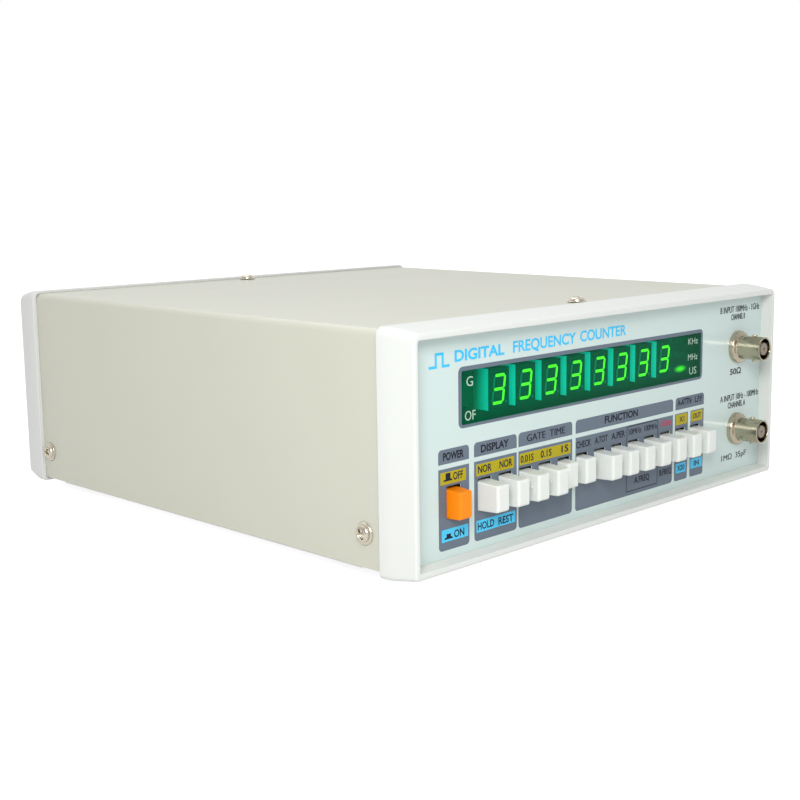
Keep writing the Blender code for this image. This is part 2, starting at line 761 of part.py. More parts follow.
def mains_inlet(finish):
    width, tall, thick = INLET_FLANGE
    flange_front = INLET_BACK - thick
    flange = centred_box(INLET_X, INLET_HEIGHT, width, tall, flange_front, INLET_BACK)
    inlet = add("mains_inlet", flange, finish)
    body = centred_box(
        INLET_X, INLET_HEIGHT, *INLET_BODY, INLET_BACK - INLET_DEPTH, INLET_BACK - 0.5
    )
    join(inlet, body, "mains_inlet_body")
    half, tall, reach = SOCKET_SIZE[0] / 2, SOCKET_SIZE[1] / 2, SOCKET_SIZE[2]
    corner = 4.0
    outline = [
        (INLET_X - half, SOCKET_HEIGHT - tall),
        (INLET_X + half, SOCKET_HEIGHT - tall),
        (INLET_X + half, SOCKET_HEIGHT + tall - corner),
        (INLET_X + half - corner, SOCKET_HEIGHT + tall),
        (INLET_X - half + corner, SOCKET_HEIGHT + tall),
        (INLET_X - half, SOCKET_HEIGHT + tall - corner),
    ]
    socket = extrusion(outline, "depth", INLET_BACK - reach, INLET_BACK + 1)
    cut(inlet, socket, "mains_inlet_socket")
    pins = [
        centred_box(
            INLET_X + x,
            SOCKET_HEIGHT + height,
            PIN_SIZE[0],
            PIN_SIZE[1],
            INLET_BACK - reach - 1,
            INLET_BACK - reach + PIN_SIZE[2],
        )
        for x, height in PIN_PLACES
    ]
    join(inlet, merged(pins), "mains_inlet_pins")
    slot = centred_box(
        INLET_X,
        DRAWER_HEIGHT,
        DRAWER_SIZE[0] + 2 * GAP,
        DRAWER_SIZE[1] + 2 * GAP,
        INLET_BACK - DRAWER_SIZE[2] - 2 * GAP,
        INLET_BACK + 1,
    )
    cut(inlet, slot, "mains_inlet_slot")


def fuse_drawer(finish):
    width, tall, length = DRAWER_SIZE
    half_width, half_height = width / 2, tall / 2
    lip_front = INLET_BACK + GAP
    rings = []
    for depth, a, b in (
        (INLET_BACK - length, half_width, half_height),
        (lip_front, half_width, half_height),
        (lip_front, half_width + 1.2, half_height + 1.2),
        (lip_front + DRAWER_LIP, half_width + 0.8, half_height + 0.8),
    ):
        corners = ((-a, -b), (a, -b), (a, b), (-a, b))
        rings.append([(INLET_X + c, depth, DRAWER_HEIGHT + d) for c, d in corners])
    add("fuse_drawer", loft(rings), finish, (INLET_X, lip_front, DRAWER_HEIGHT))


def main():
    for leftover in list(bpy.data.objects):
        bpy.data.objects.remove(leftover)
    moulding = material("white_moulding", (0.86, 0.88, 0.85), 0.35)
    nickel = material("nickel", (0.72, 0.69, 0.62), 0.25, 1.0)
    steel = material("zinc_plated_steel", (0.62, 0.63, 0.62), 0.4, 1.0)
    black = material("black_plastic", (0.02, 0.02, 0.022), 0.45)
    board = material("circuit_board", (0.02, 0.17, 0.07), 0.45)
    front_bezel(moulding)
    rear_bezel(material("grey_moulding", (0.66, 0.67, 0.64), 0.4))
    top_cover(material("beige_paint", (0.62, 0.61, 0.52), 0.45))
    bottom_chassis(steel)
    screws(nickel)
    feet(material("grey_rubber", (0.05, 0.05, 0.05), 0.8))
    front_panel(material("panel_plastic", (0.75, 0.77, 0.75), 0.5))
    front_film(material("printed_film", (0.62, 0.75, 0.72), 0.15))
    display_window(material("green_acrylic", (0.0, 0.22, 0.12), 0.05))
    digits(material("led_module", (0.85, 0.87, 0.85), 0.5))
    display_board(board)
    ribbon_cable(material("ribbon", (0.45, 0.46, 0.48), 0.5))
    finishes = {
        "button": material("button_white", (0.80, 0.81, 0.77), 0.35),
        "power": material("button_orange", (0.95, 0.30, 0.01), 0.35),
    }
    buttons(finishes)
    switches(black)
    bnc_sockets(nickel)
    bnc_nuts(nickel)
    main_board(board)
    transformer(material("transformer_core", (0.25, 0.22, 0.18), 0.6))
    regulator_heatsink(material("black_aluminium", (0.03, 0.03, 0.03), 0.4, 1.0))
    filter_capacitor(material("capacitor_sleeve", (0.03, 0.04, 0.12), 0.4))
    small_cans(material("tin_plate", (0.75, 0.75, 0.73), 0.3, 1.0))
    rear_panel(material("rear_paint", (0.60, 0.61, 0.58), 0.5))
    mains_inlet(black)
    fuse_drawer(black)


main()
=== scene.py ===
"""The looks of a bench frequency counter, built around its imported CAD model.

Lengths are in millimetres, and MM turns them into metres. Places are given as (x, depth,
height): x across from the middle, depth back from the front bezel's rim and height up
from the bezels' underside.
"""

import math

import bmesh
import bpy
from mathutils import Matrix, Vector

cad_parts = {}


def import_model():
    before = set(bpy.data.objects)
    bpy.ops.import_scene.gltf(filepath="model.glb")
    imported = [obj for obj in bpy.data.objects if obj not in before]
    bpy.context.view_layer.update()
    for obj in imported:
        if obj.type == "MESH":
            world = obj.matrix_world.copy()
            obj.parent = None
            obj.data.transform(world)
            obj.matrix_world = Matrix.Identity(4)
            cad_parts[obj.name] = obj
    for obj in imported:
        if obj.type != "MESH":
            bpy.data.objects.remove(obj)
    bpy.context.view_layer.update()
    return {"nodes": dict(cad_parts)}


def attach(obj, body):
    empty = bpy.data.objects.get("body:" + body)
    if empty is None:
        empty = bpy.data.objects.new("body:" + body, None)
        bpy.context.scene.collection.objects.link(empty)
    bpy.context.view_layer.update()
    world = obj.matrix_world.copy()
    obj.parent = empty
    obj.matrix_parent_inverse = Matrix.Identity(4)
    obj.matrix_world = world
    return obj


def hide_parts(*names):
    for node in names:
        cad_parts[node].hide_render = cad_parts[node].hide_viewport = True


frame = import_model()
nodes = frame["nodes"]

MM = 0.001
FRONT_Y = -114.05  # where the front bezel's rim stands along the frame's y
FOOT_DROP = 2.5  # how far the feet reach below the bezels

# The case
CASE_WIDTH = 215.0
CASE_HEIGHT = 80.0
CASE_DEPTH = 236.0
CORNER_STEPS = 12
LOW_CORNER_SHARE = 0.5  # a lower corner's radius, against an upper one's
FRONT_BEZEL_DEPTH = 15.2
REAR_BEZEL_DEPTH = 14.4
BEZEL_BAND = 4.0  # a bezel's untapered part, next to the cover
COVER_SEAT = (1.68, 0.98)  # side and top inset of a bezel's lip, just clear of the cover
COVER_TUCK = 2.5  # how far the cover's edges reach into the bezels
COVER_HALF = CASE_WIDTH / 2 - 1.7
COVER_TOP = CASE_HEIGHT - 1.0
COVER_BOTTOM = 1.6
COVER_BEND = 2.6
SHEET = 1.2
SIDE_SCREW_HEIGHT = 13.0
FRONT_SCREW_DEPTH = 23.4
REAR_SCREW_DEPTH = 217.0
TOP_SCREW_X = {"front": 2.9, "rear": 0.0}

# The feet
FOOT_X = {"left": -90.0, "right": 90.0}
FOOT_DEPTH = {"front": 41.0, "rear": 199.0}

# The front
PANEL_OPENING = (3.9, 4.3)  # side and top inset of the bezel's opening at the film
FILM_GAP = 0.02
FILM_FRONT = 4.9
FILM_BACK = 5.2
PANEL_FRONT = 5.5
PANEL_BACK = 7.5
WINDOW = (-80.0, 58.2, 46.6, 64.1)  # left, right, low and high
WINDOW_CUT = 0.4  # how far the film is cut away beyond the printed edge
BUTTON_HEIGHT = 22.0
BUTTON_PITCH = 10.35
FIRST_BUTTON_X = -69.25
OUT_FACE = -3.7
TRAVEL = 3.9
POWER_X = -84.0
POWER_IN_FACE = -0.8
CAP_SIZE = (6.5, 9.75, 12.7)  # width and height at the film, and length
CAP_FACE = (5.95, 9.05)
CAP_TAPER_LENGTH = 8.6
CAP_EDGE = 1.0
CAP_EDGE_STEPS = 6
STEM = 3.6  # the key's stem behind its cap, square
STEM_LENGTH = 21.0
SLOT = (6.72, 16.95, 27.9)  # width, low and high
BNC_X = 85.2
BNC_HEIGHTS = {"b": 55.9, "a": 22.0}
BNC_HOLE = 4.9  # radius of its hole in the film
BNC_BACK = 13.0
BNC_TAIL_BACK = 17.0
MOUTH = -7.9

# The display
DIGITS = 8
DIGIT_LEFT = -62.95
DIGIT_PITCH = 13.76
DIGIT_SIZE = (10.1, 7.0, 13.9)  # across, along the depth and up
DIGIT_FRONT = 8.5
DIGIT_LOW = 48.6
MODULE_WALL = 0.4
MODULE_FACE = 0.3  # how thick a module's dark face is
FIGURE_AT = (1.15, 1.7)  # a figure's lower left corner in its module
FIGURE_SIZE = (6.2, 10.2)
SEGMENT = 1.0  # its width
SEGMENT_GAP = 0.14
SLANT = 0.142  # how far a figure leans, against its height
FIGURE_THICK = 0.05
FIGURE_PROUD = 0.03  # how far it stands out from the module's face
UNLIT_INSET = 0.12  # how much thinner an unlit segment is, all round
LIT_SEGMENTS = "abcdg"
WALL_PAINTED_GLOW, FACE_AND_BODY_SHADE, LIT, UNLIT = range(4)  # a module's finishes: walls with a painted glow, the dark face (also painted shade on the body), lit and unlit segments
LAMP_SIZE = (5.0, 2.0)
LAMP_BACK = 15.75
LAMPS = {
    # x, height and the front's depth
    "khz": (48.4, 61.7, 7.9),
    "mhz": (48.4, 56.0, 7.9),
    "us": (48.4, 50.5, 7.9),
    "gate": (-71.5, 60.5, 12.0),
    "overflow": (-71.5, 49.5, 12.0),
}
LIT_LAMP = "us"
GLOW_REACH = (5.0, 1.7)  # across and up from the lit lamp's middle

# Layers of ink on the film: how far each stands in front of it, and how thick it is
INK_BOX, INK_PATCH, INK_TEXT = 0.02, 0.04, 0.06
INK = 0.03
TEXT_EXTRUDE = 0.01  # half a letter's thickness as the font gives it
SECOND_PRINT = (0.11, 0.004, 0.0)  # how far a letter that is printed twice is shifted
HEADER = (35.2, 40.0)  # low and high edge of the grey headers
BODY = (7.0, 33.7)  # and of the grey boxes under them
BOX_CORNER = 1.4
INPUT_HEADER = (41.2, 61.2)
INPUT_BODIES = ((41.0, 50.0), (51.8, 61.2))
INPUT_CORNER = 1.0
WINDOW_FRAME = (-81.5, 59.4, 45.6, 65.5)
FUNCTION_LINE = (9.3, 29.6, 8.35, 33.4)  # round two of the function keys
GROUPS = {
    # left and right edge
    "power": (-91.0, -76.7),
    "display": (-74.3, -53.1),
    "gate": (-52.2, -23.1),
    "function": (-21.2, 39.6),
}

# The back
INLET_X = 62.0
INLET_HEIGHT = 46.5
INLET_BACK = 233.0
REAR_FACE = 230.5

# The stage
SKY_BRIGHTEST = (0.55, 0.55, 0.63)  # which way the sky is brightest
SKY_LEVELS = (0.25, 0.9)  # its darkest and its brightest
FLOOR_GLOW = (0.5, 0.85)  # as it lights the object, and as it looks
CAMERA_AT = (-0.37922, -0.38903, 0.12622)  # in metres
CAMERA_ANGLES = (46.52, -9.085, -0.48)  # yaw, pitch and roll in degrees
LENS = 58.72
SENSOR = 36.0
LENS_SHIFT = (-0.0658, -0.0129)

BUTTONS = (
    "hold reset gate_001s gate_01s gate_1s check total period "
    "freq_10mhz freq_100mhz freq_1ghz attenuator low_pass"
).split()
LATCHED = {"gate_1s", "check"}
MARKED = {"gate_001s", "gate_01s", "total"}  # caps with a mould mark on the left side


# Materials


def set_inputs(node, **values):
    """Values for a shader node's inputs, by name with _ for each space."""
    for name, value in values.items():
        node.inputs[name.replace("_", " ")].default_value = value


def add_node(tree, kind, **values):
    made = tree.nodes.new("ShaderNode" + kind)
    set_inputs(made, **values)
    return made


def link(tree, source, target):
    tree.links.new(source, target)


def finish(
    name,
    colour,
    roughness=0.4,
    metallic=0.0,
    mottle=0.0,
    mottle_size=12.0,
    grain=0.0,
    grain_size=0.6,
    glow=None,
    glow_strength=0.0,
    subsurface=0.0,
    specular=0.5,
):
    """A surface with a little variation: mottle is a share of the colour, grain a height."""
    made = bpy.data.materials.new(name)
    made.use_nodes = True
    tree = made.node_tree
    surface = tree.nodes["Principled BSDF"]
    set_inputs(
        surface, Base_Color=(*colour, 1.0), Roughness=roughness, Metallic=metallic,
        Specular_IOR_Level=specular,
    )
    if subsurface:
        set_inputs(
            surface, Subsurface_Weight=subsurface, Subsurface_Radius=(1.0, 0.9, 0.7),
            Subsurface_Scale=0.6 * MM,
        )
    if glow:
        set_inputs(surface, Emission_Color=(*glow, 1.0), Emission_Strength=glow_strength)
    place_nodes = add_node(tree, "TexCoord")
    if mottle:
        cloud = add_node(tree, "TexNoise", Scale=1 / (mottle_size * MM), Detail=4)
        link(tree, place_nodes.outputs["Object"], cloud.inputs["Vector"])
        tint = add_node(tree, "Mix")
        tint.data_type = "RGBA"
        darker = [c * (1 - mottle) for c in colour]
        lighter = [min(1.0, c * (1 + mottle)) for c in colour]
        set_inputs(tint, A=(*darker, 1.0), B=(*lighter, 1.0))
        link(tree, cloud.outputs["Fac"], tint.inputs["Factor"])
        link(tree, tint.outputs["Result"], surface.inputs["Base Color"])
        least, most = roughness * 0.8, min(1.0, roughness * 1.2)
        spread = add_node(tree, "MapRange", To_Min=least, To_Max=most)
        link(tree, cloud.outputs["Fac"], spread.inputs["Value"])
        link(tree, spread.outputs["Result"], surface.inputs["Roughness"])
    if grain:
        pores = add_node(tree, "TexNoise", Scale=1 / (grain_size * MM), Detail=2)
        link(tree, place_nodes.outputs["Object"], pores.inputs["Vector"])
        relief = add_node(tree, "Bump", Distance=grain * MM)
        link(tree, pores.outputs["Fac"], relief.inputs["Height"])
        link(tree, relief.outputs["Normal"], surface.inputs["Normal"])
    return made


def module_wall_painted_glow(name):
    """White plastic with a painted glow that fades from the face towards the back: partly the
    digits' own light, partly light falling in through the window.
    """
    made = finish(name, (0.45, 0.47, 0.45), 0.5, mottle=0.03)
    tree = made.node_tree
    surface = tree.nodes["Principled BSDF"]
    place_nodes = add_node(tree, "TexCoord")
    parts = add_node(tree, "SeparateXYZ")
    # Painted glow: the emission is strongest near the module's face and gone towards its back
    front = FRONT_Y + DIGIT_FRONT
    fade = add_node(
        tree, "MapRange", From_Min=(front + 1.0) * MM,
        From_Max=(front + 0.85 * DIGIT_SIZE[1]) * MM, To_Min=0.8, To_Max=0.0,
    )
    link(tree, place_nodes.outputs["Object"], parts.inputs["Vector"])
    link(tree, parts.outputs["Y"], fade.inputs["Value"])
    link(tree, fade.outputs["Result"], surface.inputs["Emission Strength"])
    set_inputs(surface, Emission_Color=(0.0, 0.68, 0.82, 1.0))
    return made


def tinted_pane(name, tint):
    """Clear coloured sheet: light is tinted at each face that it goes through."""
    made = bpy.data.materials.new(name)
    made.use_nodes = True
    tree = made.node_tree
    tree.nodes.remove(tree.nodes["Principled BSDF"])
    tint_once = [math.sqrt(c) for c in tint]
    through = add_node(tree, "BsdfTransparent", Color=(*tint_once, 1.0))
    haze = add_node(tree, "BsdfDiffuse", Color=(0.0, 0.44, 0.22, 1.0))
    body = add_node(tree, "MixShader", Fac=0.1)
    mirror = add_node(tree, "BsdfGlossy", Roughness=0.08)
    edge = add_node(tree, "LayerWeight")
    steep = add_node(tree, "Math")
    steep.operation = "POWER"
    steep.inputs[1].default_value = 5.0
    share = add_node(tree, "MapRange", To_Min=0.004, To_Max=0.8)
    both = add_node(tree, "MixShader")
    link(tree, through.outputs["BSDF"], body.inputs[1])
    link(tree, haze.outputs["BSDF"], body.inputs[2])
    link(tree, edge.outputs["Facing"], steep.inputs[0])
    link(tree, steep.outputs["Value"], share.inputs["Value"])
    link(tree, share.outputs["Result"], both.inputs["Fac"])
    link(tree, body.outputs["Shader"], both.inputs[1])
    link(tree, mirror.outputs["BSDF"], both.inputs[2])
    link(tree, both.outputs["Shader"], tree.nodes["Material Output"].inputs["Surface"])
    return made


# Shapes: each is a bmesh in millimetres, as (x, depth, height)


def loft(rings, closed=False):
    shape = bmesh.new()
    rows = [[shape.verts.new(point) for point in ring] for ring in rings]
    pairs = list(zip(rows, rows[1:]))
    if closed:
        pairs.append((rows[-1], rows[0]))
    else:
        shape.faces.new(rows[0])
        shape.faces.new(rows[-1])
    for row, following in pairs:
        for i in range(len(row)):
            j = (i + 1) % len(row)
            shape.faces.new((row[i], row[j], following[j], following[i]))
    bmesh.ops.recalc_face_normals(shape, faces=shape.faces)
    return shape


def extrusion(outline, axis, start, stop):
    def point(a, b, along):
        return {"x": (along, a, b), "depth": (a, along, b), "height": (a, b, along)}[axis]

    return loft([[point(a, b, along) for a, b in outline] for along in (start, stop)])


def plate(outline, start, stop):
    return extrusion(outline, "depth", start, stop)


def circle(radius, steps):
    turns = [2 * math.pi * (i + 0.5) / steps for i in range(steps)]
    return [(radius * math.cos(turn), radius * math.sin(turn)) for turn in turns]


def turned(profile, axis, centre, steps=48):
    x, depth, height = centre
    rings = []
    for radius, along in profile:
        around = circle(radius, steps)
        if axis == "x":
            rings.append([(x + along, depth + a, height + b) for a, b in around])
        elif axis == "depth":
            rings.append([(x + a, depth + along, height + b) for a, b in around])
        else:
            rings.append([(x + a, depth + b, height + along) for a, b in around])
    return loft(rings)


def rounded(left, right, low, high, radius, low_radius=None, steps=CORNER_STEPS):
    """Points round a rectangle; low_radius is for the lower corners, if they differ."""
    bottom = radius if low_radius is None else low_radius
    corners = (
        (right, high, radius, -1, -1, 0),
        (left, high, radius, 1, -1, 1),
        (left, low, bottom, 1, 1, 2),
        (right, low, bottom, -1, 1, 3),
    )
    points = []
    for x, height, size, across, up, quarter in corners:
        if size <= 0:
            points.append((x, height))
            continue
        for step in range(steps + 1):
            turn = math.pi / 2 * (quarter + step / steps)
            points.append(
                (
                    x + across * size + size * math.cos(turn),
                    height + up * size + size * math.sin(turn),
                )
            )
    return points


def softened(sections, steps=5):
    """Rounds a closed list of sections; the last number of each is the length it rounds."""
    made = []
    for i, (*values, size) in enumerate(sections):
        here = Vector(values)
        if not size:
            made.append(here)
            continue
        ends = []
        for beside in (sections[i - 1], sections[(i + 1) % len(sections)]):
            other = Vector(beside[:-1])
            run = (other.xy - here.xy).length
            ends.append(here.lerp(other, min(0.5, size / run)))
        for step in range(steps + 1):
            t = step / steps
            made.append((1 - t) ** 2 * ends[0] + 2 * t * (1 - t) * here + t**2 * ends[1])
    return made


def merged(shapes, materials=None):
    """Several shapes in one bmesh; materials gives each one's material index."""
    mesh = bpy.data.meshes.new("merged")
    whole = bmesh.new()
    for i, shape in enumerate(shapes):
        if materials:
            for face in shape.faces:
                face.material_index = materials[i]
        shape.to_mesh(mesh)
        whole.from_mesh(mesh)
        shape.free()
    bpy.data.meshes.remove(mesh)
    return whole


# Pieces


def to_frame():
    """The matrix from millimetres as (x, depth, height) to the frame's metres."""
    return Matrix.Scale(MM, 4) @ Matrix.Translation((0, FRONT_Y, FOOT_DROP))


def loose(name, shape):
    """An object that isn't a piece: something to cut, or to cut with."""
    mesh = bpy.data.meshes.new(name)
    shape.to_mesh(mesh)
    shape.free()
    made = bpy.data.objects.new(name, mesh)
    bpy.context.scene.collection.objects.link(made)
    return made


def subtract(made, tools):
    """The mesh that is left of an object when the tools are cut out of it."""
    for tool in tools:
        step = made.modifiers.new("cut", "BOOLEAN")
        step.operation = "DIFFERENCE"
        step.solver = "EXACT"
        step.object = tool
    bpy.context.view_layer.update()
    graph = bpy.context.evaluated_depsgraph_get()
    result = bpy.data.meshes.new_from_object(made.evaluated_get(graph))
    for tool in tools:
        bpy.data.objects.remove(tool)
    return result


def piece(name, shape, finishes, body="case", stands_for=None, smooth=None, cutter=None):
    """Puts a shape in the scene as a piece of the object.

    It rides on a body, stands for a CAD node or for none, and smooth is its crease angle.
    """
    shape.transform(to_frame())
    made = loose(name, shape)
    for one in finishes if isinstance(finishes, list) else [finishes]:
        made.data.materials.append(one)
    if cutter:
        cutter.transform(to_frame())
        result = subtract(made, [loose("cutting", cutter)])
        made.modifiers.clear()
        made.data = result
    if smooth:
        made.data.shade_smooth()
        made.data.set_sharp_from_angle(angle=math.radians(smooth))
        weights = made.modifiers.new("weights", "WEIGHTED_NORMAL")
        weights.keep_sharp = True
    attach(made, body)
    if stands_for:
        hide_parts(stands_for)


def repaint(node, paint):
    mesh = nodes[node].data
    mesh.materials.clear()
    mesh.materials.append(paint)


# Case


def case_ring(depth, side_inset, top_inset, radius):
    half = CASE_WIDTH / 2 - side_inset
    low_radius = radius * LOW_CORNER_SHARE
    outline = rounded(-half, half, top_inset, CASE_HEIGHT - top_inset, radius, low_radius)
    return [(x, depth, height) for x, height in outline]


def bezel_shape(sections):
    return loft([case_ring(*section) for section in softened(sections)], closed=True)


def front_bezel(paint):
    seat = FRONT_BEZEL_DEPTH - COVER_TUCK
    sections = [
        # depth, side inset, top inset, corner radius, length rounded at this corner
        (FRONT_BEZEL_DEPTH, 0.0, 0.0, 3.2, 0.35),
        (FRONT_BEZEL_DEPTH - BEZEL_BAND, 0.0, 0.0, 3.2, 2.5),
        (0.0, 1.55, 1.5, 3.0, 0.9),
        (0.0, 3.3, 3.6, 1.0, 0.35),
        (FILM_BACK, *PANEL_OPENING, 0.8, 0.0),
        (FILM_BACK, 2.5, 2.0, 2.0, 0.0),
        (seat, 2.5, 2.0, 2.0, 0.0),
        (seat, *COVER_SEAT, 1.8, 0.0),
        (FRONT_BEZEL_DEPTH, *COVER_SEAT, 1.8, 0.15),
    ]
    piece(
        "front_bezel_shell", bezel_shape(sections), paint,
        stands_for="front_bezel", smooth=40,
    )


def rear_bezel(paint):
    seat = REAR_BEZEL_DEPTH - COVER_TUCK
    sections = [
        # as above, with the depth from the rear rim forward
        (REAR_BEZEL_DEPTH, 0.0, 0.0, 3.2, 0.35),
        (REAR_BEZEL_DEPTH - BEZEL_BAND, 0.0, 0.0, 3.2, 2.5),
        (0.0, 1.8, 1.8, 3.6, 1.8),
        (0.0, 5.6, 5.6, 1.8, 0.5),
        (5.2, 6.0, 6.0, 1.5, 0.0),
        (5.2, 2.5, 2.0, 2.0, 0.0),
        (seat, 2.5, 2.0, 2.0, 0.0),
        (seat, *COVER_SEAT, 1.8, 0.0),
        (REAR_BEZEL_DEPTH, *COVER_SEAT, 1.8, 0.15),
    ]
    turned_round = [(CASE_DEPTH - back, *rest) for back, *rest in sections]
    piece(
        "rear_bezel_shell", bezel_shape(turned_round), paint,
        stands_for="rear_bezel", smooth=40,
    )


def bend_points(x, height, radius, quarter, turn):
    """A quarter circle round (x, height); turn is 1 for anticlockwise and -1 for clockwise."""
    points = []
    for step in range(CORNER_STEPS + 1):
        angle = math.pi / 2 * (quarter + turn * step / CORNER_STEPS)
        points.append((x + radius * math.cos(angle), height + radius * math.sin(angle)))
    return points


def cover(paint):
    bend_x = COVER_HALF - COVER_BEND
    bend_height = COVER_TOP - COVER_BEND
    inner = COVER_BEND - SHEET
    outline = [(-COVER_HALF, COVER_BOTTOM)]
    outline += bend_points(-bend_x, bend_height, COVER_BEND, 2, -1)
    outline += bend_points(bend_x, bend_height, COVER_BEND, 1, -1)
    outline += [(COVER_HALF, COVER_BOTTOM), (COVER_HALF - SHEET, COVER_BOTTOM)]
    outline += bend_points(bend_x, bend_height, inner, 0, 1)
    outline += bend_points(-bend_x, bend_height, inner, 1, 1)
    outline += [(SHEET - COVER_HALF, COVER_BOTTOM)]
    start = FRONT_BEZEL_DEPTH - COVER_TUCK + 0.3
    stop = CASE_DEPTH - REAR_BEZEL_DEPTH + COVER_TUCK - 0.3
    shape = extrusion(outline, "depth", start, stop)
    piece("cover_shell", shape, paint, stands_for="top_cover", smooth=30)


def screw_shape():
    """A washer-head screw that points up, with a cross recess, and its seat at height 0."""
    steps = 40
    profile = [(1.4, -5.0), (1.5, 0.3), (3.72, 0.3), (3.75, 0.42), (3.6, 0.62), (2.95, 0.68)]
    for i in range(7):
        turn = math.pi / 2 * i / 6
        profile.append((1.15 + 1.75 * math.cos(turn), 0.9 + 1.1 * math.sin(turn)))
    profile.append((0.01, 2.0))
    rings = []
    for radius, up in profile:
        rings.append([(a, b, up) for a, b in circle(radius, steps)])
    return loft(rings)


def cross_blades():
    """Two tapered blades, one along and one across, that cut the recess in a screw's head."""
    shapes = []
    for across, along in ((0.5, 2.05), (2.05, 0.5)):
        rings = []
        for up, share in ((0.5, 0.5), (2.3, 1.0)):
            a = across * share if across > 1 else across
            b = along * share if along > 1 else along
            rings.append([(-a, -b, up), (a, -b, up), (a, b, up), (-a, b, up)])
        shapes.append(loft(rings))
    return shapes


def screw_places():
    """Each screw's name, place, turn from pointing up, and the twist of its cross."""
    places = []
    for end, depth in (("front", FRONT_SCREW_DEPTH), ("rear", REAR_SCREW_DEPTH)):
        twist = 0.5 if end == "front" else 1.1
        for side, sign in (("left", -1), ("right", 1)):
            turn = Matrix.Rotation(sign * math.pi / 2, 4, "Y")
            at = (sign * COVER_HALF, depth, SIDE_SCREW_HEIGHT)
            places.append((f"side_screw_{end}_{side}", at, turn, twist))
        at = (TOP_SCREW_X[end], depth, COVER_TOP)
        places.append((f"top_screw_{end}", at, Matrix.Identity(4), twist + 0.7))
    return places


def screws(metal):
    whole = loose("head", screw_shape())
    cut_head = subtract(whole, [loose("blade", blade) for blade in cross_blades()])
    bpy.data.objects.remove(whole)
    for name, at, turn, twist in screw_places():
        shape = bmesh.new()
        shape.from_mesh(cut_head)
        shape.transform(Matrix.Translation(at) @ turn @ Matrix.Rotation(twist, 4, "Z"))
        piece(f"{name}_head", shape, metal, stands_for=name, smooth=32)


def feet(rubber):
    profile = [(6.4, -FOOT_DROP), (6.9, -2.4), (7.3, -2.0), (7.7, 1.0), (7.85, 3.1), (7.7, 3.6)]
    for side, x in FOOT_X.items():
        for end, depth in FOOT_DEPTH.items():
            name = f"foot_{end}_{side}"
            shape = turned(profile, "height", (x, depth, 0.0))
            piece(f"{name}_pad", shape, rubber, stands_for=name, smooth=35)


# Front panel


def button_places():
    places = [("power", POWER_X, POWER_IN_FACE)]
    for i, name in enumerate(BUTTONS):
        face = OUT_FACE + TRAVEL if name in LATCHED else OUT_FACE
        places.append((name, FIRST_BUTTON_X + BUTTON_PITCH * i, face))
    return places


def slot_cutters(start, stop):
    """One tool for the button slots and the two sockets' holes."""
    width, low, high = SLOT
    shapes = []
    for _, x, _ in button_places():
        outline = rounded(x - width / 2, x + width / 2, low, high, 0.5, steps=3)
        shapes.append(plate(outline, start, stop))
    for height in BNC_HEIGHTS.values():
        hole = [(BNC_HOLE, start), (BNC_HOLE, stop)]
        shapes.append(turned(hole, "depth", (BNC_X, 0, height), 32))
    return merged(shapes)


def film(print_white):
    half = CASE_WIDTH / 2 - PANEL_OPENING[0] - FILM_GAP
    low = PANEL_OPENING[1] + FILM_GAP
    outline = rounded(-half, half, low, CASE_HEIGHT - low, 1.4)
    start, stop = FILM_FRONT - 1, FILM_BACK + 1
    window = plate(window_outline(WINDOW_CUT), start, stop)
    piece(
        "front_film_sheet", plate(outline, FILM_FRONT, FILM_BACK), print_white,
        stands_for="front_film",
        cutter=merged([slot_cutters(start, stop), window]),
    )


def window_outline(grow):
    left, right, low, high = WINDOW
    return rounded(left - grow, right + grow, low - grow, high + grow, 0.6, steps=4)


def window_pane(pane):
    """A stepped plate: its face fills the film's opening, and its flange sits behind."""
    inner = window_outline(WINDOW_CUT - 0.01)
    outer = rounded(WINDOW[0] - 2, WINDOW[1] + 1, WINDOW[2] - 2, WINDOW[3] + 2, 0.6, steps=4)
    rings = []
    for outline, depth in (
        (inner, FILM_FRONT + 0.01), (inner, PANEL_FRONT), (outer, PANEL_FRONT),
        (outer, PANEL_BACK),
    ):
        rings.append([(x, depth, height) for x, height in outline])
    piece("window_pane", loft(rings), pane, stands_for="display_window")


def ink(name, shapes, colour, cutter=None):
    piece(name, merged(shapes), colour, cutter=cutter)


def patch(left, right, low, high, layer, radius=0.0, low_radius=None):
    outline = rounded(left, right, low, high, radius, low_radius, steps=4)
    return plate(outline, FILM_FRONT - layer, FILM_FRONT - layer + INK)


def border(outer, inner, layer):
    """A printed line between two outlines."""
    front, back = FILM_FRONT - layer, FILM_FRONT - layer + INK
    rings = []
    for outline, depth in ((outer, front), (inner, front), (inner, back), (outer, back)):
        rings.append([(x, depth, height) for x, height in outline])
    return loft(rings, closed=True)


def typeset(words, weight=0.0, detail=3):
    """Words in the built-in font at size 1, as a bmesh with its own x, y and z.

    weight thickens the strokes, and detail is how finely their curves are divided.
    """
    curve = bpy.data.curves.new("words", "FONT")
    curve.body = words
    curve.resolution_u = detail
    curve.extrude = TEXT_EXTRUDE
    curve.offset = weight
    shown = bpy.data.objects.new("words", curve)
    mesh = bpy.data.meshes.new_from_object(shown)
    shape = bmesh.new()
    shape.from_mesh(mesh)
    bpy.data.objects.remove(shown)
    bpy.data.curves.remove(curve)
    bpy.data.meshes.remove(mesh)
    return shape


def capital_height():
    """How tall a capital is in the built-in font at size 1."""
    shape = typeset("H")
    tall = max(vert.co.y for vert in shape.verts)
    shape.free()
    return tall


CAPITAL = capital_height()


